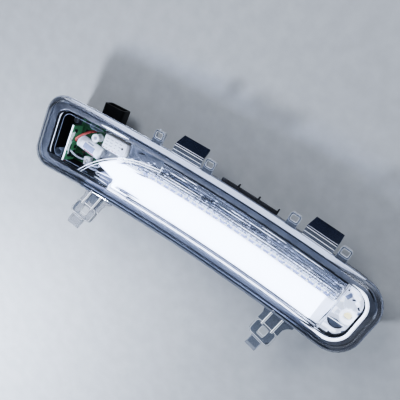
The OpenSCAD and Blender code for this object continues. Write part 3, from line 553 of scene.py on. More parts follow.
class Bench:
    """The modelling operations that the pieces share, each as it would be done by hand."""

    @staticmethod
    def clear() -> None:
        """Leave edit mode and deselect everything."""
        if bpy.context.object and bpy.context.object.mode != "OBJECT":
            bpy.ops.object.mode_set(mode="OBJECT")
        bpy.ops.object.select_all(action="DESELECT")

    @staticmethod
    def activate(obj: Object) -> None:
        """Select one object alone and make it active."""
        Bench.clear()
        obj.select_set(True)
        bpy.context.view_layer.objects.active = obj

    @staticmethod
    def linked(name: str, data: bpy.types.ID) -> Object:
        """Add an object with some data to the scene."""
        obj = bpy.data.objects.new(name, data)
        bpy.context.scene.collection.objects.link(obj)
        return obj

    @staticmethod
    def edit(obj: Object) -> None:
        """Open one object in edit mode with all of its mesh selected."""
        Bench.activate(obj)
        bpy.ops.object.mode_set(mode="EDIT")
        bpy.ops.mesh.select_all(action="SELECT")

    @staticmethod
    def named(name: str) -> Object:
        """Name the object that was just added, and return it."""
        obj = bpy.context.object
        obj.name = obj.data.name = name
        return obj

    @staticmethod
    def apply(obj: Object) -> None:
        """Put the object's place into its mesh."""
        Bench.activate(obj)
        bpy.ops.object.transform_apply(location=True, rotation=True, scale=True)

    @staticmethod
    def modify(obj: Object, kind: str, **settings: float | bool) -> None:
        """Add a modifier and apply it.

        Args:
            obj: the object.
            kind: Blender's name of the modifier type.
            settings: the modifier's settings, by name.
        """
        Bench.activate(obj)
        modifier = obj.modifiers.new(kind.lower(), kind)
        for name, value in settings.items():
            setattr(modifier, name, value)
        bpy.ops.object.modifier_apply(modifier=modifier.name)

    @staticmethod
    def clean(obj: Object, distance: float = 1e-4) -> None:
        """Merge double vertices and turn the faces outwards."""
        Bench.edit(obj)
        bpy.ops.mesh.remove_doubles(threshold=distance)
        bpy.ops.mesh.normals_make_consistent(inside=False)
        bpy.ops.object.mode_set(mode="OBJECT")

    @staticmethod
    def block(
        name: str, size: Point3, centre: Point3, bevel: float, segments: int
    ) -> Object:
        """A block with rounded edges.

        Args:
            name: the piece's name.
            size: its length, width and height.
            centre: where its middle is.
            bevel: how far its edges are rounded.
            segments: how many faces go round an edge.

        Returns:
            The block, with its place in its mesh.
        """
        Bench.clear()
        bpy.ops.mesh.primitive_cube_add(size=1, location=centre)
        obj = Bench.named(name)
        obj.scale = size
        Bench.apply(obj)
        Bench.edit(obj)
        bpy.ops.mesh.bevel(offset=bevel, segments=segments, affect="EDGES")
        bpy.ops.object.mode_set(mode="OBJECT")
        return obj

    @staticmethod
    def turned(name: str, profile: Sequence[Point2], steps: int = 32) -> Object:
        """A turned form: a profile is drawn by extruding a vertex, and spun round Z.

        Args:
            name: the piece's name.
            profile: radius and height of each corner, from the bottom up.
            steps: how many faces go round.

        Returns:
            The turned form, closed.
        """
        Bench.clear()
        bpy.ops.mesh.primitive_plane_add(size=1, location=(0, 0, 0))
        obj = Bench.named(name)
        Bench.edit(obj)
        bpy.ops.mesh.merge(type="CENTER")
        bpy.ops.transform.translate(value=(profile[0][0], 0, profile[0][1]))
        for (r0, z0), (r1, z1) in zip(profile, profile[1:]):
            step = {"value": (r1 - r0, 0, z1 - z0)}
            bpy.ops.mesh.extrude_region_move(TRANSFORM_OT_translate=step)
        bpy.ops.mesh.select_all(action="SELECT")
        bpy.ops.mesh.spin(steps=steps, angle=2 * math.pi, center=(0, 0, 0), axis=(0, 0, 1))
        bpy.ops.object.mode_set(mode="OBJECT")
        Bench.clean(obj)
        return obj

    @staticmethod
    def wire(
        name: str, points: Line, diameter: float, closed: bool = False, tapered: bool = False
    ) -> Object:
        """A round wire or bead through points, as a closed mesh.

        Args:
            name: the piece's name.
            points: the places it passes, in millimetres.
            diameter: its thickness.
            closed: True for a ring.
            tapered: True to let it thin out towards its ends.

        Returns:
            The wire.
        """
        Bench.clear()
        curve = bpy.data.curves.new(name, "CURVE")
        curve.dimensions = "3D"
        curve.bevel_depth, curve.bevel_resolution = diameter / 2, 3
        curve.use_fill_caps = not closed
        curve.resolution_u = 6 if len(points) < 12 else 1
        line = curve.splines.new("BEZIER")
        line.bezier_points.add(len(points) - 1)
        line.use_cyclic_u = closed
        for i, (knot, place) in enumerate(zip(line.bezier_points, points)):
            knot.co = place
            knot.handle_left_type = knot.handle_right_type = "AUTO"
            share = min(i, len(points) - 1 - i) / (len(points) - 1)
            knot.radius = min(1.0, 0.3 + 4 * share) if tapered else 1.0
        Bench.activate(Bench.linked(name, curve))
        bpy.ops.object.convert(target="MESH")
        obj = Bench.named(name)
        Bench.clean(obj)
        return obj

    @staticmethod
    def sheet(
        name: str, columns: int, rows: int, place: Callable[[float, int], Point3], wall: float
    ) -> Object:
        """A grid laid over a surface and given a wall.

        Args:
            name: the piece's name.
            columns: how many faces along it.
            rows: how many faces across it.
            place: gives the point for a share along it and a row across it.
            wall: its thickness, below the surface.

        Returns:
            The closed sheet.
        """
        Bench.clear()
        bpy.ops.mesh.primitive_grid_add(x_subdivisions=columns, y_subdivisions=rows, size=2)
        obj = Bench.named(name)
        for vertex in obj.data.vertices:
            vertex.co = place((vertex.co.x + 1) / 2, round((vertex.co.y + 1) / 2 * rows))
        Bench.modify(obj, "SOLIDIFY", thickness=wall, offset=-1.0, use_even_offset=False)
        Bench.clean(obj)
        return obj

    @staticmethod
    def copies(name: str, model: Object, places: Sequence[Matrix]) -> Object:
        """Join a copy of a model at each place into one piece, and remove the model.

        Args:
            name: the piece's name.
            model: what is repeated, in millimetres.
            places: where each copy goes.

        Returns:
            The joined piece.
        """
        made = [Bench.linked(name, model.data.copy()) for _ in places]
        for copy, place in zip(made, places):
            copy.data.transform(place)
        bpy.data.objects.remove(model)
        Bench.clear()
        for copy in made:
            copy.select_set(True)
        bpy.context.view_layer.objects.active = made[0]
        bpy.ops.object.join()
        return Bench.named(name)


@dataclass
class SubAssembly:
    """What the sub-assemblies share: the frame they stand around and how pieces are dressed.

    The slot names the record's material slot for most of its pieces; the pieces are not given it.
    """

    frame: dict
    slot: str = ""

    def dress(
        self, obj: Object, finish: Skin, slot: str = "",
        replaces: Sequence[str] = (), smooth: float = 30.0,
    ) -> None:
        """Give a piece its finish, and let it ride on the lamp.

        Args:
            obj: the piece, in place.
            finish: its finish.
            slot: not used.
            replaces: the CAD nodes it stands for.
            smooth: the angle in degrees under which edges are shaded smooth.
        """
        Bench.activate(obj)
        bpy.ops.object.shade_smooth_by_angle(angle=math.radians(smooth))
        obj.data.materials.clear()
        obj.data.materials.append(finish.material())
        slot or self.slot
        if replaces:
            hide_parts(*replaces)
        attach(obj, "root")
        LOG.info("%s: %d faces, %s", obj.name, len(obj.data.polygons), finish.name)

    def zones(
        self, obj: Object, others: Sequence[Skin], choose: Callable[[Point3, Vector], int]
    ) -> None:
        """Give some faces of a dressed piece another finish.

        Args:
            obj: the piece.
            others: the finishes beside its own.
            choose: gives 0 for its own finish, or 1 and up for the others, from a face's place
                and normal.
        """
        for finish in others:
            obj.data.materials.append(finish.material())
        for face in obj.data.polygons:
            face.material_index = choose(BOW.unbend(face.center), face.normal)

    def paint(self, **finishes: Skin) -> None:
        """Give CAD nodes that stay their finishes, each by the node's name."""
        for node, finish in finishes.items():
            mesh = self.frame["nodes"][node].data
            mesh.materials.clear()
            mesh.materials.append(finish.material())
            LOG.info("%s: CAD node, %s", node, finish.name)

    def smoothed(self, node: str, name: str) -> Object:
        """Copy a CAD node and merge its loose triangles, so that it can be shaded smooth.

        Args:
            node: the node's name.
            name: the copy's name.

        Returns:
            The copy.
        """
        obj = Bench.linked(name, self.frame["nodes"][node].data.copy())
        Bench.edit(obj)
        bpy.ops.mesh.remove_doubles(threshold=1e-6)
        bpy.ops.mesh.customdata_custom_splitnormals_clear()
        bpy.ops.object.mode_set(mode="OBJECT")
        return obj

    def bead(
        self, name: str, points: Line, diameter: float, finish: Skin, slot: str = "",
        closed: bool = False, tapered: bool = False,
    ) -> None:
        """A thin round bead along points, laid on the bow and dressed.

        Args:
            name: the piece's name.
            points: the places it passes, in s, v and z.
            diameter: its thickness.
            finish: its finish.
            slot: handed on to dress, which does not use it.
            closed: True for a ring.
            tapered: True to let it thin out towards its ends.
        """
        obj = BOW.lay(Bench.wire(name, points, diameter, closed, tapered))
        self.dress(obj, finish, slot, smooth=60)


@dataclass
class OuterShell(SubAssembly):
    """The black tub, its seal, and the clear lens with its legs, loops and tongues."""

    slot: str = "clear_plastic"
    flange_top: float = 40.2
    crown_r: float = 6000.0
    ridge_pitch: float = 1.0
    ridge_h: float = 0.3
    ridge_wall: float = 0.3
    ridge_span: Point2 = (-136.0, 130.0)
    # How far from its ends the ribbed wall starts to thin out, and how much of it goes
    ridge_fade: Point2 = (70.0, 30.0)
    ridge_rest: float = 0.92
    # The lens wall from its foot over its round, as v and z
    wall: tuple[Point2, ...] = (
        (31.05, 40.3), (31.05, 41.8), (31.05, 43.4), (30.75, 44.8), (30.0, 45.65), (28.9, 46.0),
    )
    leg_root: Point3 = (90.0, -31.1, 38.9)
    leg_shift: float = 7.0
    leg_mid: float = 0.8
    leg_rise: float = 28.0
    leg_lean: float = 9.0
    leg_ribs: tuple[float, ...] = (-5.6, -4.4, 4.4, 5.6)
    leg_rib_run: tuple[float, ...] = (0.5, 5.0, 10.0, 14.6)
    leg_rib_top: float = 4.95
    # Painted highlight edges of a leg, in its own plane: name, middle, width, depth, corner, height
    # and diameter
    leg_edges: tuple[tuple[str, float, float, float, float, float, float], ...] = (
        ("wing", 18.4, 19.4, 11.3, 2.8, 4.3, 0.5),
        ("window", 17.2, 6.6, 5.6, 1.0, 1.5, 0.4),
        ("foot", 28.3, 9.2, 6.2, 0.4, 4.3, 0.4),
    )
    loops: tuple[float, ...] = (-53.0, -7.0, 66.5, 108.5)
    loop_v: float = 38.7
    loop_top: float = 41.15
    # Width and corner of a loop outside and in its window
    loop_edges: tuple[Point2, ...] = ((8.2, 1.7), (5.8, 0.9))
    tongues: tuple[float, ...] = (-26.0, 89.0)
    tongue_half: float = 12.6
    # How far outside the flange the blades begin, and how far inside and how high the rim ends
    blade_out: float = 6.8
    rim_in: float = 3.5
    rim_top: float = 45.0
    # Painted highlight lines across a tongue, as v and z
    tongue_edges: tuple[Point2, ...] = ((32.4, 40.75), (35.3, 40.75), (38.5, 40.75), (39.9, 40.3))

    def ridged_wall(self, name: str, side: int, finish: Skin) -> None:
        """The fine upright ribs that run along the outside of the lens wall.

        Args:
            name: the piece's name.
            side: 1 for the far side, -1 for the near side.
            finish: its finish.
        """
        (foot_v, foot_z), rise = self.wall[0], self.wall[2][1] - self.wall[0][1]
        (begin, end), last = self.ridge_span, len(self.wall) - 1

        def place(share: float, row: int) -> Point3:
            v, z = self.wall[row]
            s = begin + (end - begin) * share
            ridge = self.ridge_h * wave(s, self.ridge_pitch)
            drop = s * s / (2 * self.crown_r) * min(1.0, (z - foot_z) / rise)
            full = min(1.0, (s - begin) / self.ridge_fade[0], (end - s) / self.ridge_fade[1])
            rest = (1 - full ** 0.6) * self.ridge_rest
            v, z, up = v + (foot_v - v) * rest, z + (foot_z - z) * rest, row / last
            return (s, side * (v + ridge * (1 - up)), z - drop * (1 - rest) + ridge * up)

        columns = int((end - begin) / self.ridge_pitch * 4)
        band = Bench.sheet(name, columns, last, place, self.ridge_wall)
        self.dress(BOW.lay(band), finish, smooth=50)

    def lens_zone(self, place: Point3, normal: Vector) -> int:
        """Tell which part of the lens a face belongs to.

        Args:
            place: the face's middle, in s, v and z.
            normal: its normal, which plays no part here.

        Returns:
            0 for the face, 1 for the rim, 2 for legs and loops, 3 for the tongues' blades.
        """
        s, v, z = place
        depth, reach = OUTLINE.depth(s, v), self.tongue_half + 0.6
        if depth < -self.blade_out and v > 0 and any(abs(s - t) < reach for t in self.tongues):
            return 3
        return 2 if depth < -0.1 else 1 if depth < self.rim_in and z < self.rim_top else 0

    def leg_point(self, side: int, x: float, y: float, z: float) -> Point3:
        """Find a place on the lamp from one on a leg.

        Args:
            side: -1 for the left leg, 1 for the right one.
            x: how far across the leg.
            y: how far out along it.
            z: how far above its plane.

        Returns:
            The place, in s, v and z.
        """
        rise, turn = math.radians(self.leg_rise), math.radians(180 - self.leg_lean)
        z -= self.leg_mid
        y, z = y * math.cos(rise) - z * math.sin(rise), y * math.sin(rise) + z * math.cos(rise)
        s, v = x * math.cos(turn) - y * math.sin(turn), x * math.sin(turn) + y * math.cos(turn)
        root = self.leg_root
        return (side * root[0] + self.leg_shift + s, root[1] + v, root[2] + z)

    @staticmethod
    def box_path(x: float, y: float, width: float, depth: float, r: float) -> list[Point2]:
        """Draw a rounded rectangle.

        Args:
            x: its middle across.
            y: its middle outward.
            width: its size across.
            depth: its size outward.
            r: the radius of its corners.

        Returns:
            Four points for each corner, all the way round.
        """
        a, b = width / 2 - r, depth / 2 - r
        corners = ((x + a, y + b), (x - a, y + b), (x - a, y - b), (x + a, y - b))
        angles = [[math.radians(90 * i + 30 * j) for j in range(4)] for i in range(4)]
        return [
            (cx + r * math.cos(angle), cy + r * math.sin(angle))
            for (cx, cy), turn in zip(corners, angles) for angle in turn
        ]

    def bright_edges(self) -> None:
        """Painted highlights: thin bright beads laid along the polished corners of legs, loops and
        tongues.
        """
        for side, leg in ((-1, "leg_left"), (1, "leg_right")):
            for i, x in enumerate(self.leg_ribs):
                line = [self.leg_point(side, x, y, self.leg_rib_top) for y in self.leg_rib_run]
                finish = EDGE_LIT if i % 2 else EDGE_HIGHLIGHT
                self.bead(f"{leg}_rib_edge_{i + 1}", line, 0.5, finish)
            for name, y, width, depth, r, z, thick in self.leg_edges:
                path = self.box_path(0, y, width, depth, r)
                ring = [self.leg_point(side, *p, z) for p in path]
                self.bead(f"{leg}_{name}_edge", ring, thick, EDGE_HIGHLIGHT, closed=True)
        for i, s in enumerate(self.loops):
            for j, (size, r) in enumerate(self.loop_edges):
                path = self.box_path(s, self.loop_v, size, size - 1.2, r)
                ring = [(*p, self.loop_top) for p in path]
                self.bead(f"loop_edge_{i + 1}_{j + 1}", ring, 0.4, EDGE_HIGHLIGHT, closed=True)
        for i, s in enumerate(self.tongues):
            for j, end in enumerate(self.tongue_edges):
                line = evenly((s - self.tongue_half, *end), (s + self.tongue_half, *end), 5)
                self.bead(f"tongue_edge_{i + 1}_{j + 1}", line, 0.45, EDGE_HIGHLIGHT)

    def build(self) -> None:
        """Build and dress the shell."""
        lens = self.smoothed("outer_lens", "lens_moulding")
        self.dress(lens, LENS_CLEAR, replaces=["outer_lens"])
        self.zones(lens, [LENS_RIM, LENS_CLIP, LENS_BLADE], self.lens_zone)
        self.bright_edges()
        # The far ribs get a painted glow, the near ones a grey, dimly lit copy as painted shade
        self.ridged_wall("ridged_wall_far", 1, RIDGE_LIT)
        self.ridged_wall("ridged_wall_near", -1, EDGE_DIM_LIT)
        # A painted dim highlight line along the flange's edge
        edge = OUTLINE.ring(0.45, self.flange_top - 0.25)
        self.bead("flange_edge", edge, 0.6, EDGE_DIM_LIT, closed=True)
        tub = self.smoothed("rear_housing", "housing_tub")
        self.dress(tub, HOUSING_BLACK, "black_plastic", ["rear_housing"])
        self.paint(lens_seal=SEAL_GREY, vent_cap=HOUSING_BLACK, terminal_pins=TINNED_BRASS)


@dataclass
class Optics(SubAssembly):
    """The bezel and the clear optic with its pillowed flutes and curved end."""

    slot: str = "optic_plastic"
    half_w: float = 21.7
    top: float = 41.0
    right: float = 123.0
    ledge_z: float = 36.8
    flat_to: float = 5.6
    flutes: int = 7
    beaded: int = 2
    flute_steps: int = 4
    flute_h: float = 0.7
    bead_pitch: float = 2.6
    bead_h: float = 0.5
    hatch_pitch: float = 1.3
    hatch_h: float = 0.12
    sweep_centre: Point2 = (-40.0, -65.2)
    sweep_r: float = 79.0
    wall: float = 1.5
    # The wall that hangs from the curved end: its foot below the top, height, wall and run over v
    end_wall: tuple[float, float, float] = (4.4, 2.6, 1.4)
    end_run: Point2 = (-20.0, 17.5)
    bezel_in: float = 10.0
    bezel_ends: Point2 = (3.0, 1.2)
    crest_z: float = 41.5
    ledge_in: float = 11.4
    # Where the bezel is lit: beside the bar from v inward, over s, and on the near slope over s
    lit_v: float = -15.0
    lit_span: Point2 = (-82.0, 122.0)
    near_span: Point2 = (-100.0, 128.0)
    # How far from the ends of the near slope it is half lit, and fully lit
    near_fade: Point2 = (6.0, 26.0)
    # Shortest and longest painted highlight line on a flute's back and gap after it, and its
    # thickness
    light_len: Point2 = (8.0, 34.0)
    light_gap: Point2 = (3.0, 18.0)
    light_d: float = 0.34
    light_seed: int = 5
    # Rows of painted glints over the flutes, by v, and the step between them along s
    sparkle_rows: tuple[float, ...] = (12.9, 15.2, 17.2)
    sparkle_step: float = 6.2
    sparkle_from: float = -52.0
    sparkle_share: float = 0.4
    bead_seed: int = 9
    scallops: int = 26
    scallop_from: float = -50.0
    scallop_step: float = 6.6
    # The beads: kind, size and finish
    bead_kinds: tuple[tuple[str, Point3, Skin], ...] = (
        ("scallop", (4.6, 1.7, 0.4), BEAD_BLUE), ("lit", (1.7, 1.4, 0.6), BEAD_LIT),
        ("pale", (1.7, 1.4, 0.6), BEAD_PALE), ("sparkle", (1.7, 0.7, 0.4), BEAD_LIT),
    )
    # Painted highlights and painted shade round the bar's left end: name, height, places as s and
    # v, diameter and finish
    marks: tuple[tuple[str, float, tuple[Point2, ...], float, Skin], ...] = (
        ("bar_corner", 39.4, ((-73.0, -12.6), (-75.8, -21.0), (-73.0, -21.0), (-58.0, -20.6)),
         1.7, EDGE_LIT),
        ("bar_wedge", 39.5, ((-70.6, -16.4), (-62.0, -16.2), (-47.0, -15.9)), 2.0, GUIDE_AND_SHADE_GREY),
        ("bar_wedge_dark", 39.5, ((-71.0, -17.4), (-62.0, -17.5), (-50.0, -17.6)),
         1.2, GROOVE_SHADE),
        ("guide_streak_1", 36.6, ((-93.0, -14.4), (-85.0, -13.4), (-77.8, -13.0)), 1.0, EDGE_LIT),
        ("guide_streak_2", 36.6, ((-92.6, -16.6), (-86.0, -16.4), (-78.6, -16.6)),
         0.8, EDGE_HIGHLIGHT),
        ("guide_streak_3", 36.6, ((-92.8, -18.8), (-86.0, -19.2), (-79.6, -19.8)), 0.8, EDGE_LIT),
        ("flute_shade_1", 39.5, ((-77.0, 1.8), (-68.0, 5.6), (-60.8, 8.0), (-49.4, 10.6)),
         1.6, GUIDE_AND_SHADE_GREY),
        ("flute_shade_2", 39.5, ((-60.0, 2.5), (-53.0, 3.2), (-46.2, 4.0)), 1.5, GUIDE_AND_SHADE_GREY),
        ("flute_shade_3", 39.5, ((-59.6, 5.4), (-52.0, 7.0), (-40.0, 8.2)), 0.9, GROOVE_SHADE),
        ("trough_mark", 37.4, ((-64.4, 17.0), (-61.4, 17.8), (-58.2, 18.2)), 1.7, GROOVE_SHADE),
    )

    @property
    def pitch(self) -> float:
        """The width of one flute."""
        return (self.half_w - 1 - self.flat_to) / self.flutes

    def sweep_s(self, v: float, gap: float = 0.0) -> float:
        """Find how far left the curved end lets the optic reach.

        Args:
            v: where across the lamp.
            gap: how far inside the curve to stay.

        Returns:
            The place s of the curved end.
        """
        low, high = -125.0, self.sweep_centre[0]
        for _ in range(40):
            middle = (low + high) / 2
            at = BOW.point(middle, v, 0) / MM
            inside = math.dist((at.x, at.y), self.sweep_centre) < self.sweep_r - gap
            low, high = (low, middle) if inside else (middle, high)
        return high

    def profile(self) -> list[tuple[float, float, float, float]]:
        """The optic's section: v, z, and how deep the beads and the hatching cut at a corner."""
        w, top = self.half_w, self.top
        near = [(-w, self.ledge_z), (-w, top - 1), (-w + 0.3, top - 0.3), (-w + 1, top),
                (-12, top), (-4, top), (self.flat_to - 0.5, top)]
        far = [(w - 0.6, top - self.flute_h), (w, top - 1.4), (w, self.ledge_z)]
        rows = [(v, z, 0.0, 0.0) for v, z in near]
        for i in range(self.flutes):
            depths = (self.bead_h, 0.0) if i < self.beaded else (0.0, self.hatch_h)
            for j in range(self.flute_steps):
                u = 2 * j / self.flute_steps - 1
                v = self.flat_to + self.pitch * (i + j / self.flute_steps)
                rows.append((v, top - self.flute_h * u * u, *depths))
        return rows + [(v, z, 0.0, 0.0) for v, z in far]

    def fluted_optic(self) -> None:
        """The optic: flat in its near half, then beads, and hatched flutes beyond them."""
        rows = self.profile()

        def place(share: float, row: int) -> Point3:
            v, z, bead, hatch = rows[row]
            left = self.sweep_s(v)
            s = left + (self.right - left) * share
            return (s, v, z - bead * wave(s, self.bead_pitch) - hatch * wave(s, self.hatch_pitch))

        optic = Bench.sheet("fluted_optic", 620, len(rows) - 1, place, self.wall)
        self.dress(BOW.lay(optic), OPTIC_CLEAR, replaces=["inner_lens"], smooth=40)

    def flute_lines(self) -> None:
        """Painted shade lines in the grooves between the flutes, and broken painted highlight lines
        on their backs.
        """
        groove_z, back_z = self.top - self.flute_h + 0.12, self.top + 0.02
        rng = random.Random(self.light_seed)
        for i in range(self.flutes + 1):
            v = self.flat_to + self.pitch * i
            begin = self.sweep_s(v, 3.0)
            line = evenly((begin, v, groove_z), (self.right - 2, v, groove_z), 30)
            thick = 0.5 if i > 1 else 0.3
            self.bead(f"flute_groove_{i + 1}", line, thick, GROOVE_SHADE)
            at, number = begin + rng.uniform(2, 20), 0
            while 1 < i < self.flutes and at < self.right - 14:
                length, number = rng.uniform(*self.light_len), number + 1
                end, middle = min(at + length, self.right - 4), v + self.pitch * 0.5
                back = evenly((at, middle, back_z), (end, middle, back_z), 5)
                finish = BEAD_PALE if rng.random() < 0.6 else EDGE_LIT
                name = f"flute_light_{i + 1}_{number}"
                self.bead(name, back, self.light_d, finish, tapered=True)
                at = end + rng.uniform(*self.light_gap)

    def bead_rows(self) -> None:
        """The two rows of beads beside the bar with a painted glow, some lit and some dimmer at
        random, and the diodes' sparkles in the flutes as painted glints.
        """
        rng = random.Random(self.bead_seed)
        groups: dict[str, list[Point3]] = {kind: [] for kind, _, _ in self.bead_kinds}
        for row, share in zip(range(self.beaded), (0.75, 0.4)):
            v = self.flat_to + self.pitch * (row + 0.5)
            s = self.sweep_s(v, 4.0)
            while s < self.right - 3:
                groups["lit" if rng.random() < share else "pale"].append((s, v, self.top - 0.3))
                s += self.bead_pitch
        s = self.sparkle_from
        while s < self.right - 4:
            for v in self.sparkle_rows:
                if rng.random() < self.sparkle_share:
                    groups["sparkle"].append((s + rng.uniform(-1.2, 1.2), v, self.top - 0.1))
            s += self.sparkle_step
        for i in range(self.scallops):
            s = self.scallop_from + self.scallop_step * i
            groups["scallop"].append((s, self.flat_to + 0.2, self.top - 0.2))
        for kind, size, finish in self.bead_kinds:
            model = Bench.block(f"bead_{kind}", size, (0, 0, 0), min(size) * 0.4, 2)
            places = [Matrix.Translation(at) for at in groups[kind]]
            rows = BOW.lay(Bench.copies(f"beads_{kind}", model, places))
            self.dress(rows, finish)

    def end_marks(self) -> None:
        """Painted highlights on the bar's corner and in streaks, and painted shade lines round the
        bar's left end.
        """
        for name, z, path, diameter, finish in self.marks:
            line = [(*p, z) for p in path]
            self.bead(name, line, diameter, finish, tapered=True)

    def curved_end(self) -> None:
        """The wall that hangs from the optic's curved end, with two painted highlight lines on its
        edges.
        """
        foot, height, thick = self.end_wall
        near, far = self.end_run

        def place(share: float, row: int) -> Point3:
            v = near + (far - near) * share
            return (self.sweep_s(v), v, self.top - foot + height * row)

        wall = Bench.sheet("optic_end_wall", 60, 1, place, thick)
        self.dress(BOW.lay(wall), OPTIC_CLEAR)
        for name, gap, drop, thick in (
            ("sweep_line_outer", 0.3, 0.2, 0.7), ("sweep_line_inner", 2.4, 0.5, 0.5)
        ):
            steps = [near + (far + 0.5 - near) * i / 36 for i in range(37)]
            line = [(self.sweep_s(v, gap), v, self.top - drop) for v in steps]
            self.bead(name, line, thick, EDGE_LIT, tapered=True)

    def bezel_zone(self, place: Point3, normal: Vector) -> int:
        """Tell which part of the bezel a face belongs to.

        Args:
            place: the face's middle, in s, v and z.
            normal: its normal.

        Returns:
            0 for the slope, 1 inside it in painted shade, 2 beside the bar in painted light, 3 and
            4 for the near slope in painted light, full and half.
        """
        s, v, _ = place
        share = self.bezel_ends[0] if s < 0 else self.bezel_ends[1]
        inside = OUTLINE.depth(s, v) > self.bezel_in + (share if abs(s) > 125 else 0) - 0.3
        if inside:
            lit = v < self.lit_v and self.lit_span[0] < s < self.lit_span[1]
            return 2 if lit and abs(normal.z) < 0.5 else 1
        reach = min(s - self.near_span[0], self.near_span[1] - s) if v < 0 else 0
        return 3 if reach > self.near_fade[1] else 4 if reach > self.near_fade[0] else 0

    def bezel(self) -> None:
        """The bezel in painted light and painted shade by zone, painted highlights on its crest in
        parts, and thin painted highlight and shade lines round its window.
        """
        rim = self.smoothed("inner_bezel", "bezel_rim")
        self.dress(rim, BEZEL_SATIN, "bezel_plastic", ["inner_bezel"])
        self.zones(rim, [BEZEL_SHADE, BEZEL_LIT, BEZEL_NEAR_LIT, BEZEL_HALF_LIT], self.bezel_zone)
        inset, ends, crest_z, top = self.bezel_in, self.bezel_ends, self.crest_z, self.top
        crest = OUTLINE.ring(inset - 0.9, crest_z - 0.85, ends)
        wall = OUTLINE.ring(inset + 1.3, crest_z - 1.6, ends)
        flash = OUTLINE.ring(inset - 1.9, crest_z - 0.6, ends)
        foot = OUTLINE.ring(4.3, 42.4)
        bay = OUTLINE.ring(self.ledge_in + 1.8, self.ledge_z + 0.2, ends)
        hatch = evenly((-66, -19.4, top - 0.35), (112, -19.4, top - 0.35), 40)
        window = evenly((-72, -21.3, top - 0.4), (118, -21.3, top - 0.4), 40)
        # Each line: its name, the path it follows, which run of it, diameter, finish and slot
        for name, path, keep, thick, finish, slot in (
            ("crest_right", crest, lambda s, v, _: s > 112 or (s > 100 and v < 0),
             2.6, EDGE_LIT, "bezel_plastic"),
            ("crest_left", crest, lambda s, v, _: s < -138 and abs(v) < 18,
             0.9, EDGE_LIT, "bezel_plastic"),
            ("bay_wall_line", wall, lambda s, v, _: s < -133 and abs(v) < 18,
             0.8, EDGE_HIGHLIGHT, "bezel_plastic"),
            ("crest_far", crest, lambda s, v, _: v > 0 and -88 < s < 112,
             0.6, EDGE_LIT, "bezel_plastic"),
            ("crest_near", crest, lambda s, v, _: v < 0 and -84 < s < 100,
             0.7, EDGE_LIT, "bezel_plastic"),
            ("crest_flash", flash, lambda s, v, _: v > 0 and -106 < s < -72,
             1.5, EDGE_LIT, "bezel_plastic"),
            ("near_hatch", hatch, None, 1.3, GUIDE_AND_SHADE_GREY, "optic_plastic"),
            ("wall_foot_line", foot, lambda s, v, _: v < 0 and -98 < s < 116,
             1.0, BEAD_PALE, "clear_plastic"),
            ("window_line", window, None, 1.5, EDGE_LIT, "optic_plastic"),
            ("bay_line", bay, lambda s, v, _: s < -96, 0.7, EDGE_DIM_LIT, "bezel_plastic"),
        ):
            line = Outline.run(path, keep) if keep else path
            self.bead(name, line, thick, finish, slot, tapered=name != "bay_line")

    def build(self) -> None:
        """Build and dress the bezel and the optic."""
        self.bezel()
        self.fluted_optic()
        self.flute_lines()
        self.bead_rows()
        self.end_marks()
        self.curved_end()


@dataclass
class LightBar(SubAssembly):
    """The lit diffuser with its diodes, board, pad, heat sink, trough, bracket and ribbed guide."""

    slot: str = "bright_coating"
    foot: Point2 = (5.4, 30.8)
    rim: Point2 = (19.0, 34.6)
    lip: float = 2.9
    span: Point2 = (-74.0, 123.0)
    rib_pitch: float = 1.3
    rib_h: float = 0.4
    steps: int = 10
    # The ramp at the right end: its left near corner, and its length, width and drop
    ramp_from: Point3 = (116.3, -19.0, 35.8)
    ramp_size: Point3 = (7.9, 23.0, 1.4)

    def trough(self) -> None:
        """The bright trough under the flutes, with fine ribs across it."""
        (v0, z0), (v1, z1) = self.foot, self.rim
        shares = [i / self.steps for i in range(self.steps + 1)]
        rows = [(v0 + (v1 - v0) * u, z0 + (z1 - z0) * u * u, self.rib_h) for u in shares]
        rows.append((v1 + self.lip, z1, 0.0))

        def place(share: float, row: int) -> Point3:
            v, z, depth = rows[row]
            s = self.span[0] + (self.span[1] - self.span[0]) * share
            return (s, v, z - depth * wave(s, self.rib_pitch))

        sheet = Bench.sheet("ribbed_trough", 560, len(rows) - 1, place, 1.2)
        self.dress(BOW.lay(sheet), TROUGH_COAT, replaces=["side_reflector"], smooth=50)

    def end_ramp(self) -> None:
        """The plate that slopes from the bar's right end to the divider, bright with a painted
        glow.
        """
        (s, v, z), (length, width, drop) = self.ramp_from, self.ramp_size

        def place(share: float, row: int) -> Point3:
            return (s + length * share, v + width * row / 5, z - drop * share)

        self.dress(BOW.lay(Bench.sheet("end_ramp", 6, 5, place, 0.8)), EDGE_LIT)

    def build(self) -> None:
        """Build and dress the light bar."""
        self.trough()
        self.end_ramp()
        # The bracket gets a painted glow for the bar's light on it
        self.paint(
            diffuser=DIFFUSER_LIT, led_board=BOARD_BLACK, bar_diodes=PHOSPHOR,
            thermal_pad=PAD_GREY, heat_sink=SINK_ALUMINIUM, bar_bracket=ABS_LIT,
            ribbed_guide=GUIDE_AND_SHADE_GREY, tab_parts=WHITE_ABS,
        )


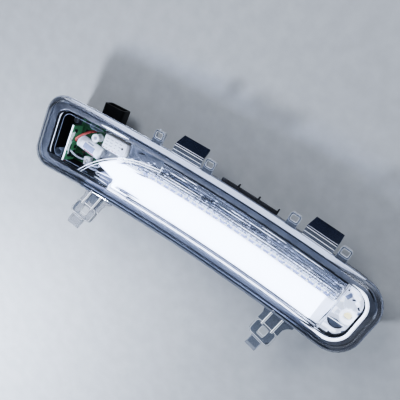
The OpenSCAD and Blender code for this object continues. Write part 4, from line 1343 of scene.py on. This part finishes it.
@dataclass
class EndChamber(SubAssembly):
    """The bright bowl at the round end with its small lamp, facets and divider."""

    slot: str = "bright_coating"
    lamp: Point2 = (138.4, -3.0)
    floor_z: float = 27.9
    # The ring of painted glow round the small lamp, as radius and height
    glow_ring: tuple[Point2, ...] = (
        (3.6, 0), (6.0, 0.6), (6.2, 1.4), (5.7, 1.5), (4.2, 0.8), (3.6, 0.7), (3.6, 0),
    )
    facet_h: float = 0.5
    # Facets of the bowl, coloured as painted reflections: place, length, width, turn about Z and
    # tilt in degrees, and finish
    facets: tuple[tuple[Point3, float, float, float, float, Skin], ...] = (
        ((129.6, 12.0, 32.6), 3.2, 5.4, -18, 10, FACET_PAINTED_PALE),
        ((126.8, 7.0, 32.0), 3.2, 4.6, 24, 12, EDGE_LIT),
        ((134.2, 14.6, 33.2), 6.0, 2.8, -12, -12, EDGE_LIT),
        ((133.8, 11.6, 32.6), 2.4, 1.3, 30, 16, FACET_PAINTED_DARK),
        ((140.2, 8.2, 32.4), 3.0, 1.2, -35, 14, FACET_PAINTED_DARK),
        ((137.8, 10.4, 32.4), 3.6, 2.4, -30, -12, EDGE_LIT),
        ((142.6, 5.2, 32.0), 2.6, 2.4, -60, 12, FACET_PAINTED_PALE),
        ((126.9, 16.0, 33.6), 1.8, 1.2, 20, 12, FACET_PAINTED_DARK),
        ((129.6, 16.9, 34.0), 4.4, 2.0, 4, 14, EDGE_LIT),
        ((132.4, -17.4, 32.6), 11.0, 2.0, 4, -10, EDGE_LIT),
        ((142.4, -13.4, 32.0), 3.6, 2.0, 50, -12, FACET_PAINTED_PALE),
        ((127.2, -3.4, 31.4), 2.4, 5.0, 0, 0, EDGE_LIT),
    )
    # Painted highlight and painted shade lines that curve from the flutes round the divider: both
    # ends as s and v, and finish
    curves: tuple[tuple[Point2, Point2, Skin], ...] = (
        ((114.9, 10.9), (122.8, 6.6), EDGE_LIT), ((115.6, 13.4), (123.6, 8.6), FACET_PAINTED_DARK),
        ((116.4, 16.2), (123.9, 11.8), EDGE_LIT), ((117.6, 18.4), (124.0, 14.6), FACET_PAINTED_DARK),
    )
    curve_z: float = 36.4
    # The half-round shelf: its middle, its radius and the angles it spans
    disc: Point3 = (133.2, -8.8, 30.6)
    disc_r: float = 6.8
    disc_angles: Point2 = (195.0, 350.0)

    def facet_plates(self) -> None:
        """The flat facets that break up the bowl, coloured as painted reflections, bright ones and
        shaded ones.
        """
        for i, (place, length, width, turn, tilt, finish) in enumerate(self.facets):
            size = (length, width, self.facet_h)
            plate = Bench.block(f"bowl_facet_{i + 1}", size, (0, 0, 0), bevel=0.15, segments=2)
            spin = Matrix.Rotation(math.radians(turn), 4, "Z")
            spin = spin @ Matrix.Rotation(math.radians(tilt), 4, "X")
            plate.data.transform(Matrix.Translation(place) @ spin)
            self.dress(BOW.lay(plate), finish)

    def curved_lines(self) -> None:
        """Painted highlight and painted shade lines that curve from the flutes round the divider.
        """
        for i, (begin, end, finish) in enumerate(self.curves):
            middle = ((begin[0] + end[0]) / 2 + 1.6, (begin[1] + end[1]) / 2 + 1.2)
            line = [(*p, self.curve_z) for p in (begin, middle, end)]
            self.bead(f"curved_line_{i + 1}", line, 0.9, finish, tapered=True)

    def half_disc(self) -> None:
        """The grey half-round shelf on the near side of the small lamp, grey as painted shade, with
        painted shade lines round its rim and along the divider and a painted highlight along its
        top.
        """
        (s, v, z), (begin, end) = self.disc, self.disc_angles

        def place(share: float, row: int) -> Point3:
            angle, r = math.radians(begin + (end - begin) * share), self.disc_r * row / 3
            return (s + r * math.cos(angle), v + r * math.sin(angle), z)

        self.dress(BOW.lay(Bench.sheet("half_disc", 24, 3, place, 0.5)), FACET_GREY)
        rim = [(*place(i / 16, 3)[:2], z + 0.4) for i in range(17)]
        top = [(*place(share, 3)[:2], z + 0.5) for share in (0.02, 1.0)]
        line = [(124.9, 1.8, 36.9), (123.9, -10.0, 36.9), (122.9, -24.6, 36.9)]
        self.bead("half_disc_rim", rim, 1.0, GROOVE_SHADE, tapered=True)
        self.bead("half_disc_top", top, 0.7, EDGE_LIT)
        self.bead("divider_line", line, 0.8, GROOVE_SHADE, tapered=True)

    def build(self) -> None:
        """Build and dress the end chamber."""
        self.paint(
            end_reflector=BOWL_COAT, end_divider=OPTIC_CLEAR, end_board=BOARD_WHITE,
            end_diode=PHOSPHOR_DIM,
        )
        self.facet_plates()
        self.curved_lines()
        self.half_disc()
        # A ring of painted glow round the small lamp
        glow_ring = Bench.turned("lamp_collar", self.glow_ring, 36)
        glow_ring.data.transform(Matrix.Translation((*self.lamp, self.floor_z)))
        self.dress(BOW.lay(glow_ring), EDGE_LIT)
        # A dark plate as painted shade where the bowl has a slot
        slot = Bench.block("bowl_slot", (7.6, 1.7, 0.4), (136.4, -18.7, 36.8), 0.12, 2)
        self.dress(BOW.lay(slot), BEZEL_SHADE)


@dataclass
class Electronics(SubAssembly):
    """The boards and parts in the bay at the square end."""

    slot: str = "white_plastic"
    base_top: float = 23.0
    card_s: float = -127.4
    card_v: Point2 = (-20.2, 12.0)
    card_h: float = 15.0
    capacitor_from: Point2 = (-121.8, 0.6)
    capacitor_turn: float = -8.0
    capacitor_r: float = 5.5
    capacitor_len: float = 23.0
    # Fields printed on the can: name, finish, the angles it spans round it and its run along it
    prints: tuple[tuple[str, Skin, Point2, Point2], ...] = (
        ("sleeve_field_blue", PRINT_BLUE, (150, 205), (7.0, 18.0)),
        ("sleeve_field_pink", PRINT_PINK, (212, 232), (8.5, 19.0)),
        ("sleeve_field_pale", PRINT_GREY, (128, 142), (9.0, 15.0)),
    )
    choke_place: Point2 = (-108.2, 8.6)
    # The choke's drum and core, as radius and height
    drum: tuple[Point2, ...] = (
        (0, 0), (3.5, 0), (3.6, 0.2), (3.6, 1.2), (2.8, 2.1), (2.8, 6.1), (3.6, 6.9), (3.6, 8.0),
        (3.4, 8.2), (1.7, 8.2), (1.6, 7.4), (0, 7.4),
    )
    core: tuple[Point2, ...] = ((0, 7.3), (1.4, 7.3), (1.4, 7.9), (1.2, 8.0), (0, 8.0))
    converter_place: Point2 = (-87.0, 11.9)
    converter_size: Point3 = (22.0, 12.0, 12.6)
    # Parts on the upright board: where along it, how high and how long
    card_parts: tuple[Point3, ...] = (
        (-14.0, 11.8, 3.0), (-8.4, 11.0, 5.0), (-1.6, 12.2, 2.0), (4.6, 11.4, 4.0),
        (8.8, 12.0, 1.6),
    )
    plug_place: Point2 = (-110.5, -14.0)
    lead: tuple[Point3, ...] = (
        (-125.6, -10.4, 33.0), (-122.0, -11.6, 33.6), (-117.5, -13.6, 31.0), (-113.4, -14.0, 27.4),
    )
    ceramics: tuple[Point2, ...] = (
        (-118.6, -9.4), (-114.4, -6.6), (-121.0, -14.8), (-104.0, 4.0), (-103.4, 0.8),
    )
    solder_pads: int = 16
    seed: int = 11

    def stand(
        self, obj: Object, place: Point2, z: float, turn: float = 0.0, lie: bool = False
    ) -> Object:
        """Put a form that was made round Z at a place on the boards.

        Args:
            obj: the form, in millimetres.
            place: s and v of its middle or its foot.
            z: the height of its foot.
            turn: how far it is turned, in degrees.
            lie: True to lay its axis along the lamp.

        Returns:
            The form, in place on the bow.
        """
        lying = Matrix.Rotation(math.pi / 2, 4, "Y") if lie else Matrix.Identity(4)
        turned = Matrix.Rotation(math.radians(turn), 4, "Z")
        obj.data.transform(Matrix.Translation((*place, z)) @ turned @ lying)
        return BOW.lay(obj)

    def capacitor(self) -> None:
        """The round capacitor: a sleeve with a rolled groove, and plain colour fields on it."""
        r, length = self.capacitor_r, self.capacitor_len
        z = self.base_top + r
        body = Bench.turned("capacitor_can", [
            (0, 0.5), (r - 1.5, 0.5), (r - 1.4, 0), (r - 0.5, 0), (r, 0.4), (r, 2.4),
            (r - 0.5, 2.9), (r - 0.5, 3.3), (r, 3.8), (r, length - 0.7), (r - 0.2, length - 0.2),
            (r - 0.7, length), (0, length),
        ], 40)
        self.stand(body, self.capacitor_from, z, self.capacitor_turn, lie=True)
        self.dress(body, SLEEVE_WHITE, "sleeve", ["capacitor"])
        for name, finish, angles, run in self.prints:
            def place(share: float, row: int) -> Point3:
                angle = math.radians(angles[0] + (angles[1] - angles[0]) * share)
                along = run[0] + (run[1] - run[0]) * row / 4
                return ((r + 0.04) * math.cos(angle), (r + 0.04) * math.sin(angle), along)

            printed = Bench.sheet(name, 12, 4, place, 0.03)
            self.stand(printed, self.capacitor_from, z, self.capacitor_turn, lie=True)
            self.dress(printed, finish, "sleeve")

    def choke(self) -> None:
        """The white choke drum with its dark core."""
        for name, profile, steps, finish, replaces in (
            ("choke_drum", self.drum, 36, WHITE_ABS, ["choke"]),
            ("choke_core", self.core, 24, PRINT_GREY, []),
        ):
            form = Bench.turned(name, profile, steps)
            self.stand(form, self.choke_place, self.base_top)
            self.dress(form, finish, replaces=replaces)

    def converter(self) -> None:
        """The white converter block, with a dark moulding dot and plain printed dashes."""
        (s, v), (length, width, height) = self.converter_place, self.converter_size
        top = self.base_top + height
        body = Bench.block("converter_body", (length, width, height), (0, 0, height / 2), 0.9, 4)
        self.stand(body, self.converter_place, self.base_top)
        self.dress(body, WHITE_ABS, replaces=["converter"])
        rng = random.Random(self.seed)
        dashes = []
        for i in range(12):
            row, column = divmod(i, 4)
            at = (s - 7.6 + 4.2 * column, v + 3.4 - 2.6 * row)
            size = (rng.uniform(1.2, 3.2), 0.55, 0.06)
            dashes.append((f"converter_dash_{i + 1}", size, at, 0, PRINT_GREY))
        for i in range(5):
            at = (s - 9.2 + 3.0 * i, v - 4.9 + 0.1 * (i % 2))
            dashes.append((f"converter_mark_{i + 1}", (1.6, 0.5, 0.06), at, 6, PRINT_PINK))
        for name, size, at, turn, finish in dashes:
            dash = Bench.block(name, size, (0, 0, 0), bevel=0.02, segments=1)
            self.dress(self.stand(dash, at, top + 0.01, turn), finish)
        dot = Bench.turned("converter_dot", [(0, 0), (1.0, 0), (1.0, 0.08), (0, 0.08)], 20)
        self.dress(self.stand(dot, (s + 7.4, v + 0.8), top), CHIP_BLACK, "chip")

    def upright_card(self) -> None:
        """The upright board with its face in painted light, a pale painted highlight strip, rows of
        small parts and a painted highlight along its top edge.
        """
        s, (near, far) = self.card_s, self.card_v
        middle, length, top = (near + far) / 2, far - near, self.base_top + self.card_h
        # Each plate: its name, size, centre, finish and bevel
        for name, size, centre, finish, bevel in (
            ("card_face", (0.12, length - 0.8, self.card_h - 1.2),
             (s + 0.86, middle, self.base_top + self.card_h / 2), BOARD_LEAF, 0.03),
            ("card_strip", (0.12, length * 0.52, 3.4), (s + 0.99, middle + 1.4, top - 2.2),
             BOARD_HIGHLIGHT, 0.03),
            ("card_edge", (1.5, length, 0.3), (s, middle, top - 0.1), EDGE_LIT, 0.08),
        ):
            self.dress(BOW.lay(Bench.block(name, size, centre, bevel, 1)), finish, "board_green")
        for i, (v, rise, long) in enumerate(self.card_parts):
            centre = (s + 1.2, near + 20.2 + v * 0.9, self.base_top + rise)
            part = Bench.block(f"card_part_{i + 1}", (0.7, long, 1.1), centre, 0.12, 2)
            self.dress(BOW.lay(part), (WHITE_ABS, CHIP_BLACK, SOLDER)[i % 3], "chip")

    def plug(self) -> None:
        """The small white plug with the cream end of its contact, and the lead that runs to it."""
        block = Bench.block("plug_body", (6.0, 7.2, 5.4), (0, 0, 2.7), bevel=0.5, segments=3)
        self.stand(block, self.plug_place, self.base_top, 8)
        self.dress(block, WHITE_ABS, replaces=["wire_plug"])
        profile = [(0, 0), (1.7, 0), (1.7, 0.3), (1.2, 0.7), (0, 0.9)]
        contact = Bench.turned("plug_contact", profile, 24)
        self.stand(contact, self.plug_place, self.base_top + 5.3)
        self.dress(contact, NYLON)
        self.bead("grey_lead", self.lead, 1.7, WIRE_GREY, "grey_sleeve")

    def small_parts(self) -> None:
        """Solder, ceramic parts and a dark sheet laid at the end of the bay as painted shade."""
        base = self.base_top
        # A dark sheet as painted shade over the end of the bay
        shade_plate = Bench.block("bay_liner", (9.6, 36.8, 0.2), (-134.0, 0.0, base + 0.12), 0.05, 1)
        self.dress(BOW.lay(shade_plate), BEZEL_SHADE, "chip")
        for i, place in enumerate(self.ceramics):
            centre = (*place, base + 0.65)
            part = Bench.block(f"ceramic_{i + 1}", (2.4, 1.5, 1.3), centre, 0.2, 2)
            self.dress(BOW.lay(part), CERAMIC_BROWN if i < 2 else SOLDER, "chip")
        rng = random.Random(self.seed)
        for i in range(self.solder_pads):
            place = (rng.uniform(-125, -101), rng.choice((-1, 1)) * rng.uniform(11.5, 17.5))
            pad = Bench.turned(f"solder_{i + 1}", [(0, 0), (0.6, 0), (0.35, 0.35), (0, 0.5)], 10)
            self.dress(self.stand(pad, place, base), SOLDER, "steel")

    def build(self) -> None:
        """Build and dress the electronics."""
        self.capacitor()
        self.choke()
        self.converter()
        self.upright_card()
        self.plug()
        self.small_parts()
        self.paint(
            base_board=BOARD_GREEN, upright_board=BOARD_GREEN, board_parts=CHIP_BLACK,
            red_wire=WIRE_RED, lead_wires=WIRE_GREY, choke_leads=SLEEVE_CLEAR,
            clear_bush=SLEEVE_CLEAR, screws=ZINC_STEEL,
        )


@dataclass
class Studio:
    """The pale floor, the soft lights and the camera."""

    camera_place: Point3 = (0.09493, 0.13185, 0.41460)
    right: Point3 = (0.82, 0.44, -0.366)
    up: Point3 = (-0.522, 0.837, -0.164)
    back: Point3 = (0.234, 0.325, 0.916)
    lens: float = 47.07
    sensor: float = 36.0
    shift: Point2 = (0.0151, 0.0322)
    floor_side: float = 4.0
    world_colour: str = "#a9b3c2"
    world_strength: float = 0.13
    # Name, place, the place it faces, side, power and colour of each soft light
    lights: tuple[tuple[str, Point3, Point3, float, float, str], ...] = (
        ("key_softbox", (-0.45, 0.55, 0.75), (0.0, 0.0, 0.0), 0.5, 4.0, "#f6f8ff"),
        ("rim_softbox", (0.35, 0.75, 0.45), (0.0, 0.0, 0.03), 0.35, 3.0, "#f0f5ff"),
        ("fill_softbox", (0.7, -0.5, 0.7), (0.0, 0.0, 0.0), 0.7, 0.9, "#eef2fa"),
        ("pool_softbox", (-0.22, -0.34, 0.30), (-0.13, -0.20, 0.0), 0.07, 2.6, "#e8f0ff"),
    )
    bloom: float = 0.1
    bloom_from: float = 2.2
    bloom_size: float = 0.35
    # How strongly light and dark are set apart, and the level in the middle that stays as it is
    contrast: float = 1.35
    middle: float = 0.25
    saturation: float = 0.84

    def floor(self) -> None:
        """A large plain pale floor."""
        Bench.clear()
        bpy.ops.mesh.primitive_grid_add(
            x_subdivisions=8, y_subdivisions=8, size=self.floor_side, location=(0, 0, 0)
        )
        obj = Bench.named("studio_floor")
        obj.data.materials.append(FLOOR.material())

    def area(
        self, name: str, place: Point3, facing: Point3, size: float, power: float, colour: str
    ) -> None:
        """Add a square soft light.

        Args:
            name: the light's name.
            place: where it stands, in metres.
            facing: the place it faces.
            size: its side.
            power: its power in watts.
            colour: its colour.
        """
        light = bpy.data.lights.new(name, "AREA")
        light.size, light.energy, light.color = size, power, linear(colour)[:3]
        obj = Bench.linked(name, light)
        obj.location = place
        obj.rotation_euler = (Vector(facing) - Vector(place)).to_track_quat("-Z", "Y").to_euler()

    def camera(self) -> None:
        """The camera at the photograph's viewing angle."""
        data = bpy.data.cameras.new("photo_camera")
        data.lens, data.sensor_width = self.lens, self.sensor
        data.shift_x, data.shift_y = self.shift
        data.clip_start = 0.01
        obj = Bench.linked("photo_camera", data)
        axes = Matrix((self.right, self.up, self.back)).transposed()
        obj.matrix_world = Matrix.Translation(self.camera_place) @ axes.to_4x4()
        bpy.context.scene.camera = obj

    def glow(self) -> None:
        """Let the brightest parts of the picture bloom a little, and set light and dark apart."""
        scene = bpy.context.scene
        scene.use_nodes = True
        tree = scene.node_tree
        tree.nodes.clear()
        image = add_node(tree, "CompositorNodeRLayers").outputs[0]
        bloom = {"glare_type": "BLOOM", "Threshold": self.bloom_from, "Strength": self.bloom,
                 "Size": self.bloom_size}
        lift = math.log2(self.middle ** (1 / self.contrast) / self.middle)
        for kind, settings in (
            ("CompositorNodeGlare", bloom), ("CompositorNodeExposure", {"Exposure": lift}),
            ("CompositorNodeGamma", {"Gamma": self.contrast}),
            ("CompositorNodeHueSat", {"Saturation": self.saturation}),
        ):
            image = add_node(tree, kind, settings, Image=image).outputs[0]
        add_node(tree, "CompositorNodeComposite", Image=image)

    def build(self) -> None:
        """Set the floor, the lights, the world and the camera."""
        self.floor()
        for light in self.lights:
            self.area(*light)
        world = bpy.data.worlds.new("studio")
        world.use_nodes = True
        back = world.node_tree.nodes["Background"]
        back.inputs[0].default_value = linear(self.world_colour)
        back.inputs[1].default_value = self.world_strength
        bpy.context.scene.world = world
        self.camera()
        self.glow()


def main() -> None:
    """Build the lamp around its CAD frame, sub-assembly by sub-assembly."""
    logging.basicConfig(level=logging.INFO, format="%(name)s: %(message)s")
    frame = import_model()
    for kind in (OuterShell, Optics, LightBar, EndChamber, Electronics):
        kind(frame).build()
    Studio().build()


if __name__ == "__main__":
    main()
